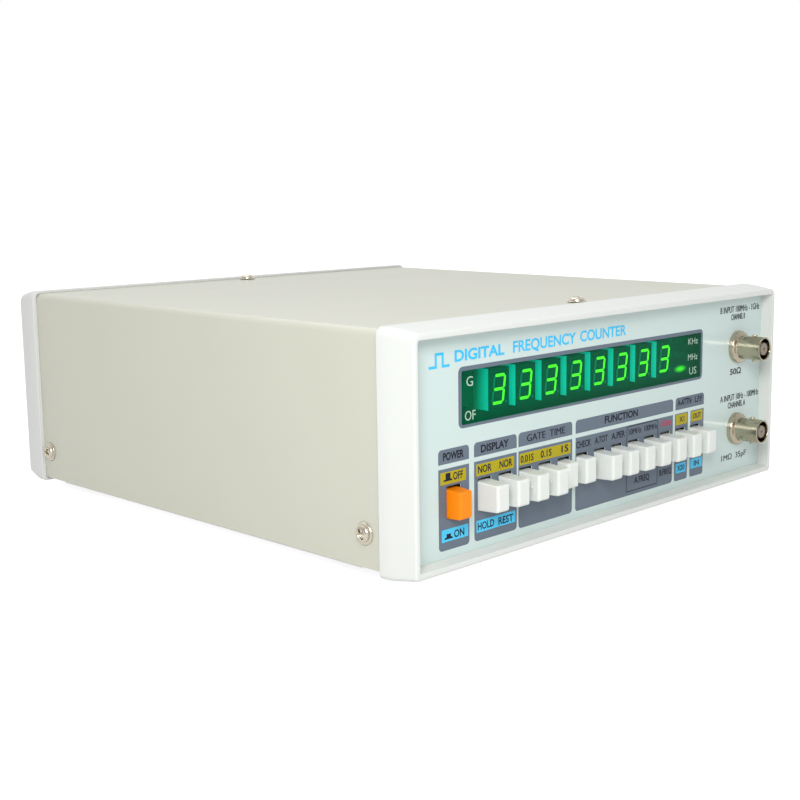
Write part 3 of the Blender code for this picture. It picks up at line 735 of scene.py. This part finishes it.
def letters(labels, face=FILM_FRONT, weight=0.0, detail=3):
    """Raised text; each label is words, left, right, baseline and the capitals' top."""
    shapes = []
    for words, left, right, base, top in labels:
        # The font's M closes up when its strokes are thickened, so it is printed twice
        twice = "M" in words and weight > 0
        shape = typeset(words, 0.0 if twice else weight, detail)
        across = [vert.co.x for vert in shape.verts]
        start, spread = min(across), max(across) - min(across)
        wide = (right - left) / spread
        tall = (top - base) / CAPITAL
        for vert in shape.verts:
            x, up, out = vert.co
            depth = face - INK_TEXT + INK * (0.5 - out / (2 * TEXT_EXTRUDE))
            vert.co = (left + (x - start) * wide, depth, base + up * tall)
        shapes.append(shape)
        if twice:
            again = shape.copy()
            again.transform(Matrix.Translation(SECOND_PRINT))
            shapes.append(again)
    return merged(shapes)


def printed_boxes(grey_ink):
    grey = []
    for left, right in GROUPS.values():
        grey.append(patch(left, right, *HEADER, INK_BOX, BOX_CORNER, 0.0))
        grey.append(patch(left, right, *BODY, INK_BOX, 0.0, BOX_CORNER))
    grey.append(patch(*INPUT_HEADER, *HEADER, INK_BOX, BOX_CORNER, 0.0))
    for left, right in INPUT_BODIES:
        grey.append(patch(left, right, *BODY, INK_BOX, 0.0, INPUT_CORNER))
    cutter = slot_cutters(FILM_FRONT - 1, FILM_FRONT + 1)
    ink("print_grey_groups", grey, grey_ink, cutter)
    outer = rounded(*WINDOW_FRAME, 2.0, steps=6)
    inner = rounded(*WINDOW, 0.6, steps=6)
    ink("print_grey_display", [border(outer, inner, INK_BOX)], grey_ink)


def printed_patches(yellow_ink, cyan_ink):
    yellow = [
        patch(-90.1, -78.2, 28.6, 32.6, INK_PATCH),
        patch(-73.3, -54.5, 28.7, 32.65, INK_PATCH),
        patch(-51.6, -24.0, 28.75, 32.75, INK_PATCH),
        patch(41.7, 49.3, 29.2, 33.3, INK_PATCH),
        patch(52.4, 60.3, 29.2, 33.3, INK_PATCH),
    ]
    ink("print_yellow", yellow, yellow_ink)
    cyan = [
        patch(-89.7, -77.3, 9.8, 13.9, INK_PATCH),
        patch(-73.3, -53.9, 9.8, 13.8, INK_PATCH),
        patch(42.1, 48.9, 10.0, 13.8, INK_PATCH),
        patch(52.4, 60.6, 10.2, 14.1, INK_PATCH),
    ]
    ink("print_cyan", cyan, cyan_ink)


def printed_marks(black_ink):
    """The line round two of the function keys, and the power key's out and in signs."""
    line = 0.32
    left, right, low, high = FUNCTION_LINE
    outer = rounded(left, right, low, high, 1.2, 0.5, steps=5)
    inner = rounded(left + line, right - line, low + line, high - line, 0.9, 0.2, steps=5)
    icons = [
        border(outer, inner, INK_PATCH),
        patch(-88.6, -84.7, 29.6, 30.2, INK_TEXT),
        patch(-87.7, -85.5, 30.2, 32.2, INK_TEXT),
        patch(-88.4, -84.7, 10.6, 11.2, INK_TEXT),
        patch(-87.5, -85.5, 11.2, 12.3, INK_TEXT),
    ]
    ink("print_black_marks", icons, black_ink)


def printed_words(black_ink, red_ink):
    headers = [
        ("POWER", -88.8, -79.2, 36.4, 38.8),
        ("DISPLAY", -71.0, -57.2, 36.4, 38.75),
        ("GATE  TIME", -47.8, -27.3, 36.4, 38.8),
        ("FUNCTION", -4.2, 16.2, 36.6, 39.05),
        ("A-ATTN", 42.5, 52.1, 36.8, 39.1),
        ("L.P.F", 54.7, 59.8, 36.8, 39.1),
    ]
    labels = [
        ("OFF", -84.2, -79.7, 29.55, 31.95),
        ("NOR", -72.5, -65.8, 29.6, 32.0),
        ("NOR", -61.9, -55.4, 29.6, 32.0),
        ("0.01S", -51.1, -44.3, 29.6, 31.9),
        ("0.1S", -40.5, -34.6, 29.7, 32.0),
        ("1S", -29.2, -25.3, 29.8, 32.1),
        ("X1", 44.0, 47.4, 30.3, 32.3),
        ("OUT", 53.5, 59.3, 30.3, 32.3),
        ("CHECK", -20.8, -12.3, 29.8, 32.1),
        ("A.TOT", -10.0, -2.4, 29.9, 32.2),
        ("A.PER", 0.0, 8.3, 30.0, 32.3),
        ("10MHz", 10.7, 18.6, 30.0, 32.2),
        ("100MHz", 20.6, 29.0, 30.0, 32.2),
        ("A.FREQ", 14.5, 24.3, 11.0, 13.3),
        ("B.FREQ", 31.0, 39.0, 11.0, 13.3),
        ("ON", -84.0, -79.2, 10.55, 12.9),
        ("HOLD", -72.7, -64.6, 10.6, 12.95),
        ("REST", -62.5, -55.0, 10.5, 12.85),
        ("X20", 42.9, 48.2, 10.9, 12.9),
        ("IN", 54.8, 58.4, 11.1, 13.1),
        ("B INPUT 100MHz - 1GHz", 71.9, 101.7, 70.2, 72.7),
        ("CHANNEL B", 80.1, 90.6, 67.2, 69.4),
        ("50Ω", 80.2, 88.5, 44.7, 47.0),
        ("A INPUT 10Hz - 100MHz", 73.3, 102.8, 34.0, 36.5),
        ("CHANNEL A", 79.2, 92.6, 30.9, 33.2),
        ("1MΩ  35pF", 75.2, 94.1, 9.4, 11.7),
    ]
    words = [letters(headers, weight=0.03), letters(labels, weight=0.022)]
    ink("print_black_text", words, black_ink)
    words = [letters([("1GHz", 32.2, 38.4, 30.2, 32.3)], weight=0.02)]
    ink("print_red_text", words, red_ink)


def printed_title(blue_ink):
    words = [
        ("FREQUENCY", -54.9, -21.4, 67.6, 71.2),
        ("COUNTER", -19.0, 8.2, 67.8, 71.4),
    ]
    ink("print_title", [letters(words, weight=0.02, detail=5)], blue_ink)
    bold = [("DIGITAL", -83.1, -59.3, 67.5, 70.9)]
    wave = [
        (-94.8, 66.6), (-91.6, 66.6), (-91.6, 70.6), (-88.5, 70.6), (-88.5, 66.6),
        (-85.4, 66.6),
    ]
    mark = [letters(bold, weight=0.03, detail=5), stroke(wave, 0.85, INK_TEXT)]
    ink("print_mark", mark, blue_ink)


def stroke(points, width, layer):
    """A printed square-cornered line along points that run straight across or up."""
    half = width / 2
    sides = ([], [])
    for i, (x, height) in enumerate(points):
        before = Vector(points[max(i - 1, 0)])
        after = Vector(points[min(i + 1, len(points) - 1)])
        here = Vector((x, height))
        into = (here - before).normalized() if i else (after - here).normalized()
        out = (after - here).normalized() if i < len(points) - 1 else into
        offset = Vector((-into.y, into.x)) + Vector((-out.y, out.x))
        if i in (0, len(points) - 1):
            offset = offset / 2
        sides[0].append(tuple(here + offset * half))
        sides[1].append(tuple(here - offset * half))
    outline = sides[0] + sides[1][::-1]
    return plate(outline, FILM_FRONT - layer, FILM_FRONT - layer + INK)


def window_text(pale):
    labels = [
        ("G", -77.7, -74.6, 58.9, 62.0),
        ("OF", -78.5, -73.4, 47.8, 50.9),
        ("KHz", 49.2, 55.9, 60.1, 62.5),
        ("MHz", 49.2, 55.9, 53.9, 56.3),
        ("US", 50.2, 55.2, 48.3, 51.0),
    ]
    shape = letters(labels, face=FILM_FRONT + 0.02)
    piece("print_window_text", shape, pale)


# Display


def segments(inset):
    """Outlines of a digit's seven segments, by name, before slanting; inset thins them."""
    wide, tall = FIGURE_SIZE
    half = SEGMENT / 2
    t = half - inset

    def level(height):
        left, right = half + SEGMENT_GAP + inset, wide - half - SEGMENT_GAP - inset
        return [
            (left, height), (left + t, height + t), (right - t, height + t),
            (right, height), (right - t, height - t), (left + t, height - t),
        ]

    def upright(x, low, high):
        low, high = low + SEGMENT_GAP + inset, high - SEGMENT_GAP - inset
        return [
            (x, low), (x - t, low + t), (x - t, high - t),
            (x, high), (x + t, high - t), (x + t, low + t),
        ]

    low, middle, high = half, tall / 2, tall - half
    left, right = half, wide - half
    return {
        "a": level(high),
        "b": upright(right, middle, high),
        "c": upright(right, low, middle),
        "d": level(low),
        "e": upright(left, low, middle),
        "f": upright(left, middle, high),
        "g": level(middle),
    }


def digit_parts(x):
    """The shapes of the module that starts at x, each with the index of its finish."""
    width, length, tall = DIGIT_SIZE
    low, top = DIGIT_LOW, DIGIT_LOW + tall
    front, back = DIGIT_FRONT + MODULE_FACE, DIGIT_FRONT + length
    left, right = x + MODULE_WALL, x + width - MODULE_WALL
    face = rounded(x, x + width, low, top, 0.25, steps=3)
    parts = [
        (plate(face, DIGIT_FRONT + FIGURE_PROUD, front), FACE_AND_BODY_SHADE),
        # The body between the walls takes the dark face finish too: painted shade on its
        # grey-white top
        (plate(rounded(left, right, low, top, 0.0), front, back), FACE_AND_BODY_SHADE),
        (plate(rounded(x, left, low, top, 0.0), front, back), WALL_PAINTED_GLOW),
        (plate(rounded(right, x + width, low, top, 0.0), front, back), WALL_PAINTED_GLOW),
    ]

    def on_face(outline, finish_index):
        shape = plate(outline, DIGIT_FRONT, DIGIT_FRONT + FIGURE_THICK)
        parts.append((shape, finish_index))

    foot_x, foot_height = x + FIGURE_AT[0], low + FIGURE_AT[1]
    for name, full in segments(0.0).items():
        lit = name in LIT_SEGMENTS
        outline = full if lit else segments(UNLIT_INSET)[name]
        slanted = [(foot_x + a + b * SLANT, foot_height + b) for a, b in outline]
        on_face(slanted, LIT if lit else UNLIT)
    point_x, point_height = x + 8.6, foot_height + 0.5
    on_face([(point_x + a, point_height + b) for a, b in circle(0.45, 12)], UNLIT)
    return parts


def digits(finishes):
    for i in range(DIGITS):
        shapes, indices = zip(*digit_parts(DIGIT_LEFT + DIGIT_PITCH * i))
        piece(
            f"digit_module_{i + 1}", merged(shapes, indices), finishes,
            stands_for=f"digit_{i + 1}",
        )


def lamps(dark):
    """The rectangular LEDs by the unit names and the status letters."""
    half_wide, half_tall = LAMP_SIZE[0] / 2, LAMP_SIZE[1] / 2
    for name, (x, height, front) in LAMPS.items():
        low, high = height - half_tall, height + half_tall
        outline = rounded(x - half_wide, x + half_wide, low, high, 0.3, steps=3)
        piece(f"led_{name}", plate(outline, front, LAMP_BACK), dark)
    x, height, front = LAMPS[LIT_LAMP]
    across, up = GLOW_REACH
    outline = rounded(x - across, x + across, height - up, height + up, up, steps=8)
    shape = plate(outline, front - 0.08, front - 0.02)
    piece("led_glow", shape, glow_finish("led_lit"))


def glow_finish(name):
    """Light that fades from the middle of the lit lamp to the end of its reach."""
    made = finish(name, (0.01, 0.03, 0.01), 0.5, mottle=0.05)
    tree = made.node_tree
    surface = tree.nodes["Principled BSDF"]
    x, height, _ = LAMPS[LIT_LAMP]
    place_nodes = add_node(tree, "TexCoord")
    move = add_node(tree, "VectorMath")
    move.operation = "SUBTRACT"
    move.inputs[1].default_value = (x * MM, 0.0, (height + FOOT_DROP) * MM)
    shrink = add_node(tree, "VectorMath")
    shrink.operation = "DIVIDE"
    shrink.inputs[1].default_value = (GLOW_REACH[0] * MM, 1e6, GLOW_REACH[1] * MM)
    far = add_node(tree, "VectorMath")
    far.operation = "LENGTH"
    fade = add_node(tree, "MapRange", From_Min=0.1, To_Min=1.7, To_Max=0.0)
    fade.interpolation_type = "SMOOTHSTEP"
    link(tree, place_nodes.outputs["Object"], move.inputs[0])
    link(tree, move.outputs["Vector"], shrink.inputs[0])
    link(tree, shrink.outputs["Vector"], far.inputs[0])
    link(tree, far.outputs["Value"], fade.inputs["Value"])
    link(tree, fade.outputs["Result"], surface.inputs["Emission Strength"])
    set_inputs(surface, Emission_Color=(0.8, 0.9, 0.0, 1.0))
    return made


# Buttons and sockets


def cap_shape(x, face):
    """A key cap that tapers towards its face, whose edges are rounded."""
    width, tall, length = CAP_SIZE
    face_width, face_tall = CAP_FACE
    corner = 0.5
    # Each ring: how far behind the face, half the width, half the height, corner radius
    rings = [(0.0, face_width / 2 - CAP_EDGE, face_tall / 2 - CAP_EDGE, corner)]
    for step in range(1, CAP_EDGE_STEPS + 1):
        turn = math.pi / 2 * step / CAP_EDGE_STEPS
        inset = CAP_EDGE * (1 - math.sin(turn))
        along = CAP_EDGE * (1 - math.cos(turn))
        radius = corner + 0.35 * inset
        rings.append((along, face_width / 2 - inset, face_tall / 2 - inset, radius))
    rings.append((CAP_TAPER_LENGTH, width / 2, tall / 2, corner))
    rings.append((length, width / 2, tall / 2, corner))
    points = []
    for along, a, b, radius in rings:
        outline = rounded(x - a, x + a, BUTTON_HEIGHT - b, BUTTON_HEIGHT + b, radius, steps=5)
        points.append([(c, face + along, d) for c, d in outline])
    return loft(points)


def mould_mark(x, face):
    """The small nub that a moulding tool leaves on the left side of a cap."""
    nub = [(0.5, 0.0), (0.5, 0.2), (0.42, 0.36), (0.25, 0.45)]
    profile = [(radius, -along) for radius, along in nub]
    centre = (x - CAP_SIZE[0] / 2 + 0.25, face + 3.4, BUTTON_HEIGHT + 0.3)
    return turned(profile, "x", centre, 16)


def buttons(white, orange):
    length = CAP_SIZE[2]
    half = STEM / 2
    low, high = BUTTON_HEIGHT - half, BUTTON_HEIGHT + half
    for name, x, face in button_places():
        shapes = [cap_shape(x, face)]
        if name in MARKED:
            shapes.append(mould_mark(x, face))
        stem = rounded(x - half, x + half, low, high, 0.2, steps=2)
        shapes.append(plate(stem, face + length - 0.5, face + length + STEM_LENGTH))
        is_power = name == "power"
        node = f"{name}_button"
        piece(
            f"{name}_cap", merged(shapes), orange if is_power else white,
            node, stands_for=node, smooth=30,
        )


def socket_barrel(centre):
    """Bored from the mouth; behind the collar it is thinner, and goes through the panel."""
    mouth, seat = MOUTH, FILM_FRONT
    profile = [
        (3.6, mouth + 9.5),
        (4.1, mouth + 9.5),
        (4.1, mouth + 0.3),
        (4.25, mouth + 0.06),
        (4.4, mouth),
        (4.62, mouth),
        (4.75, mouth + 0.1),
        (4.8, mouth + 0.3),
        (4.8, seat - 2.3),
        (4.6, seat - 2.2),
        (4.6, BNC_BACK),
        (1.2, BNC_BACK),
        (1.2, BNC_TAIL_BACK),
    ]
    return turned(profile, "depth", centre, 96)


def socket_collar(centre):
    seat = FILM_FRONT
    profile = [
        (4.7, seat - 3.0),
        (4.82, seat - 3.0),
        (4.95, seat - 2.65),
        (5.3, seat - 2.45),
        (5.9, seat - 2.35),
        (6.3, seat - 2.15),
        (6.52, seat - 1.8),
        (6.6, seat - 1.3),
        (6.6, seat - 0.02),
        (4.7, seat - 0.02),
    ]
    return turned(profile, "depth", centre, 144)


def socket_lug(height, sign):
    """One of the two pins that a plug's bayonet turns onto."""
    profile = [
        (1.0, sign * 4.5), (1.0, sign * 5.25), (0.92, sign * 5.42), (0.7, sign * 5.5),
    ]
    return turned(profile, "height", (BNC_X, MOUTH + 4.7, height), 24)


def sockets(metal, collar_metal, insulator, contact):
    mouth = MOUTH
    post = [
        (0.6, mouth + 3.5), (0.6, mouth + 0.35), (2.35, mouth + 0.3),
        (2.5, mouth + 0.45), (2.5, mouth + 9.45), (0.2, mouth + 9.45),
    ]
    pin = [
        (0.3, mouth + 3.0), (0.3, mouth + 1.2), (0.52, mouth + 1.1),
        (0.58, mouth + 1.3), (0.58, mouth + 3.4), (0.1, mouth + 3.4),
    ]
    for name, height in BNC_HEIGHTS.items():
        centre = (BNC_X, 0, height)
        shapes = [
            socket_barrel(centre),
            socket_collar(centre),
            socket_lug(height, -1),
            socket_lug(height, 1),
        ]
        node = f"bnc_{name}"
        piece(
            f"{node}_shell", merged(shapes, [0, 1, 0, 0]), [metal, collar_metal],
            stands_for=node, smooth=38,
        )
        shape = turned(post, "depth", centre)
        piece(f"{node}_insulator", shape, insulator, smooth=38)
        shape = turned(pin, "depth", centre, 24)
        piece(f"{node}_contact", shape, contact, smooth=38)


# Rear


def inlet_pins(contact):
    """Three flat pins whose ends are chamfered on all sides."""
    half_width, half_tall, chamfer = 1.03, 2.03, 0.45
    shapes = []
    for across, up in ((-7.0, -2.0), (7.0, -2.0), (0.0, 2.0)):
        x, height = INLET_X + across, INLET_HEIGHT + up
        rings = []
        for from_back, inset in ((16.1, 0.0), (2.6, 0.0), (1.95, chamfer)):
            a, b = half_width - inset, half_tall - inset
            outline = rounded(x - a, x + a, height - b, height + b, 0.0)
            rings.append([(c, INLET_BACK - from_back, d) for c, d in outline])
        shapes.append(loft(rings))
    piece("inlet_pins", merged(shapes), contact)


def rear_text(black_ink):
    """Words made as on the film, then mirrored and moved to the rear panel's face."""
    labels = [
        ("AC INPUT", INLET_X - 9, INLET_X + 9, 64.3, 67.0),
        ("FUSE", INLET_X - 5.5, INLET_X + 5.5, 13.0, 15.6),
    ]
    shape = letters(labels)
    for vert in shape.verts:
        vert.co.x = 2 * INLET_X - vert.co.x
        vert.co.y = REAR_FACE + (FILM_FRONT - vert.co.y) - 0.01
    piece("print_rear_text", shape, black_ink)


# Stage


def area_light(name, at, target, size, power, colour=(1, 1, 1)):
    lamp = bpy.data.lights.new(name, "AREA")
    lamp.shape = "RECTANGLE"
    lamp.size, lamp.size_y = size
    lamp.energy = power
    lamp.color = colour
    made = bpy.data.objects.new(name, lamp)
    made.location = at
    made.rotation_euler = (Vector(target) - Vector(at)).to_track_quat("-Z", "Y").to_euler()
    bpy.context.scene.collection.objects.link(made)


def world():
    """White to look at; it lights the object more from above and from behind than in front."""
    sky = bpy.data.worlds.new("studio")
    bpy.context.scene.world = sky
    sky.use_nodes = True
    tree = sky.node_tree
    tree.nodes.clear()
    out = add_node(tree, "OutputWorld")
    seen = add_node(tree, "Background", Color=(1, 1, 1, 1))
    lit = add_node(tree, "Background")
    place_nodes = add_node(tree, "TexCoord")
    toward = add_node(tree, "VectorMath")
    toward.operation = "DOT_PRODUCT"
    toward.inputs[1].default_value = SKY_BRIGHTEST
    link(tree, place_nodes.outputs["Generated"], toward.inputs[0])
    ramp = add_node(tree, "ValToRGB")
    for element, position, value in zip(ramp.color_ramp.elements, (0.0, 1.0), SKY_LEVELS):
        element.position = position
        element.color = (value, value, value, 1)
    share = add_node(tree, "MapRange", From_Min=-0.8, From_Max=0.9)
    link(tree, toward.outputs["Value"], share.inputs["Value"])
    link(tree, share.outputs["Result"], ramp.inputs["Fac"])
    link(tree, ramp.outputs["Color"], lit.inputs["Color"])
    ray = add_node(tree, "LightPath")
    mix = add_node(tree, "MixShader")
    link(tree, ray.outputs["Is Camera Ray"], mix.inputs["Fac"])
    link(tree, lit.outputs["Background"], mix.inputs[1])
    link(tree, seen.outputs["Background"], mix.inputs[2])
    link(tree, mix.outputs["Shader"], out.inputs["Surface"])


def stage():
    floor_mesh = bpy.data.meshes.new("floor")
    shape = bmesh.new()
    bmesh.ops.create_grid(shape, x_segments=1, y_segments=1, size=6.0)
    shape.to_mesh(floor_mesh)
    shape.free()
    floor = bpy.data.objects.new("floor", floor_mesh)
    bpy.context.scene.collection.objects.link(floor)
    paper = finish("floor_white", (0.35, 0.35, 0.35), 0.9, mottle=0.01, glow=(1, 1, 1))
    tree = paper.node_tree
    ray = add_node(tree, "LightPath")
    shine = add_node(tree, "MapRange", To_Min=FLOOR_GLOW[0], To_Max=FLOOR_GLOW[1])
    link(tree, ray.outputs["Is Camera Ray"], shine.inputs["Value"])
    surface = tree.nodes["Principled BSDF"]
    link(tree, shine.outputs["Result"], surface.inputs["Emission Strength"])
    floor_mesh.materials.append(paper)
    world()
    area_light("key", (-0.46, -0.42, 0.34), (-0.06, -0.06, 0.03), (0.25, 0.25), 2.8)
    area_light("fill", (-0.10, -0.90, 0.12), (0.0, -0.1, 0.04), (0.5, 0.2), 0.4)
    area_light("top", (0.08, 0.50, 0.9), (0.0, 0.05, 0.0), (0.8, 0.8), 2.4, (0.93, 0.97, 1.0))


def camera():
    yaw, pitch, roll = (math.radians(angle) for angle in CAMERA_ANGLES)
    ahead = Vector(
        (math.sin(yaw) * math.cos(pitch), math.cos(yaw) * math.cos(pitch), math.sin(pitch))
    )
    right = Vector((math.cos(yaw), -math.sin(yaw), 0.0))
    up = right.cross(ahead)
    tilted_right = right * math.cos(roll) + up * math.sin(roll)
    tilted_up = up * math.cos(roll) - right * math.sin(roll)
    turn = Matrix((tilted_right, tilted_up, -ahead)).transposed()
    lens = bpy.data.cameras.new("camera")
    lens.lens = LENS
    lens.sensor_width = SENSOR
    lens.shift_x, lens.shift_y = LENS_SHIFT
    lens.clip_start = 0.01
    made = bpy.data.objects.new("camera", lens)
    made.matrix_world = Matrix.Translation(CAMERA_AT) @ turn.to_4x4()
    bpy.context.scene.collection.objects.link(made)
    bpy.context.scene.camera = made


def main():
    camera()
    stage()
    bpy.context.scene.view_settings.view_transform = "Standard"

    nickel = finish("nickel", (0.50, 0.445, 0.325), 0.17, 1.0, mottle=0.06, mottle_size=5)
    bright_nickel = finish(
        "bright_nickel", (0.70, 0.64, 0.54), 0.26, 1.0, mottle=0.04, mottle_size=3
    )
    case(bright_nickel)
    inks = front()
    display()
    buttons(
        finish(
            "button_white", (0.72, 0.745, 0.71), 0.3, mottle=0.01, grain=0.002,
            grain_size=0.8, subsurface=0.15,
        ),
        finish(
            "button_orange", (0.95, 0.24, 0.0), 0.35, mottle=0.02, grain=0.002,
            grain_size=0.8, subsurface=0.1, specular=0.25,
        ),
    )
    insulator = finish("insulator", (0.25, 0.21, 0.165), 0.45, mottle=0.06, mottle_size=3)
    gold = finish("contact_gold", (0.85, 0.62, 0.25), 0.25, 1.0, mottle=0.03)
    collar = finish("collar_nickel", (0.54, 0.48, 0.365), 0.2, 1.0, mottle=0.06, mottle_size=4)
    sockets(nickel, collar, insulator, gold)
    inlet_pins(nickel)
    rear_text(inks["black"])
    insides(nickel)


def case(screw_metal):
    grain = {"grain": 0.004, "grain_size": 0.9}
    front_bezel(finish("white_moulding", (0.68, 0.70, 0.67), 0.32, mottle=0.012, **grain))
    rear_bezel(finish("grey_moulding", (0.655, 0.665, 0.645), 0.38, mottle=0.02, **grain))
    cover(
        finish(
            "beige_paint", (0.55, 0.55, 0.465), 0.36, mottle=0.02, mottle_size=25,
            grain=0.02, grain_size=1.1,
        )
    )
    screws(screw_metal)
    feet(finish("grey_rubber", (0.09, 0.09, 0.09), 0.75, mottle=0.1, grain=0.01))


def front():
    film(
        finish(
            "printed_film", (0.565, 0.675, 0.655), 0.2, mottle=0.006, mottle_size=30,
            grain=0.0012, grain_size=1.6, specular=0.3,
        )
    )
    window_pane(tinted_pane("green_acrylic", (0.05, 0.72, 0.44)))
    colours = {
        # colour, roughness and gloss
        "grey": ((0.125, 0.16, 0.205), 0.25, 0.25),
        "yellow": ((0.42, 0.345, 0.0), 0.25, 0.25),
        "cyan": ((0.07, 0.53, 0.83), 0.25, 0.25),
        "black": ((0.010, 0.011, 0.022), 0.3, 0.15),
        "red": ((0.50, 0.02, 0.08), 0.3, 0.2),
        "blue": ((0.035, 0.50, 0.84), 0.3, 0.25),
    }
    inks = {}
    for name, (colour, roughness, gloss) in colours.items():
        inks[name] = finish(f"ink_{name}", colour, roughness, mottle=0.02, specular=gloss)
    printed_boxes(inks["grey"])
    printed_patches(inks["yellow"], inks["cyan"])
    printed_marks(inks["black"])
    printed_words(inks["black"], inks["red"])
    printed_title(inks["blue"])
    window_text(finish("ink_pale", (0.38, 0.55, 0.44), 0.4, mottle=0.02, specular=0.2))
    return inks


def display():
    lit = finish(
        "segment_lit", (0.1, 0.3, 0.02), 0.5, mottle=0.05, glow=(1.0, 0.8, 0.0),
        glow_strength=2.4,
    )
    # The unlit segments have a faint painted glow: they shine a little though they are off
    unlit = finish(
        "segment_unlit_painted_glow", (0.2, 0.22, 0.2), 0.5, mottle=0.05, glow=(0.0, 0.5, 0.60),
        glow_strength=0.2,
    )
    # The dark face finish also paints the shade on the modules' bodies
    face = finish("led_module_face_and_body_shade", (0.035, 0.04, 0.035), 0.5, mottle=0.05)
    digits([module_wall_painted_glow("led_module_wall_painted_glow"), face, lit, unlit])
    lamps(finish("led_unlit", (0.03, 0.09, 0.04), 0.3, mottle=0.05))


def insides(nickel):
    steel = finish("zinc_plated_steel", (0.62, 0.63, 0.62), 0.38, 1.0, mottle=0.08)
    # Near black, so that the gaps round the keys' caps show dark: painted shade in those gaps
    panel = finish("panel_plastic", (0.02, 0.02, 0.022), 0.6, mottle=0.05)
    rear = finish("rear_paint", (0.55, 0.56, 0.53), 0.5, mottle=0.02, grain=0.01)
    board = finish("circuit_board", (0.015, 0.10, 0.045), 0.45, mottle=0.15, mottle_size=6)
    black = finish("black_plastic", (0.02, 0.02, 0.022), 0.45, mottle=0.08, grain=0.01)
    ribbon = finish("ribbon", (0.45, 0.46, 0.48), 0.5, mottle=0.05)
    core = finish("transformer_core", (0.20, 0.16, 0.12), 0.55, mottle=0.2, mottle_size=4)
    sink = finish("black_aluminium", (0.03, 0.03, 0.03), 0.4, 1.0, mottle=0.1)
    sleeve = finish("capacitor_sleeve", (0.03, 0.04, 0.12), 0.4, mottle=0.05)
    tin = finish("tin_plate", (0.75, 0.75, 0.73), 0.3, 1.0, mottle=0.05)
    switches = [f"{row}_switches" for row in ("display", "gate", "function", "input")]
    painted = [
        (steel, ["bottom_chassis"]),
        (panel, ["front_panel"]),
        (rear, ["rear_panel"]),
        (board, ["display_board", "main_board"]),
        (ribbon, ["ribbon_cable"]),
        (black, ["power_switch", *switches, "mains_inlet", "fuse_drawer"]),
        (nickel, ["bnc_nut_a", "bnc_nut_b"]),
        (core, ["transformer"]),
        (sink, ["regulator_heatsink"]),
        (sleeve, ["filter_capacitor"]),
        (tin, ["crystal_oscillator", "prescaler_shield"]),
    ]
    for paint, names in painted:
        for name in names:
            repaint(name, paint)


main()
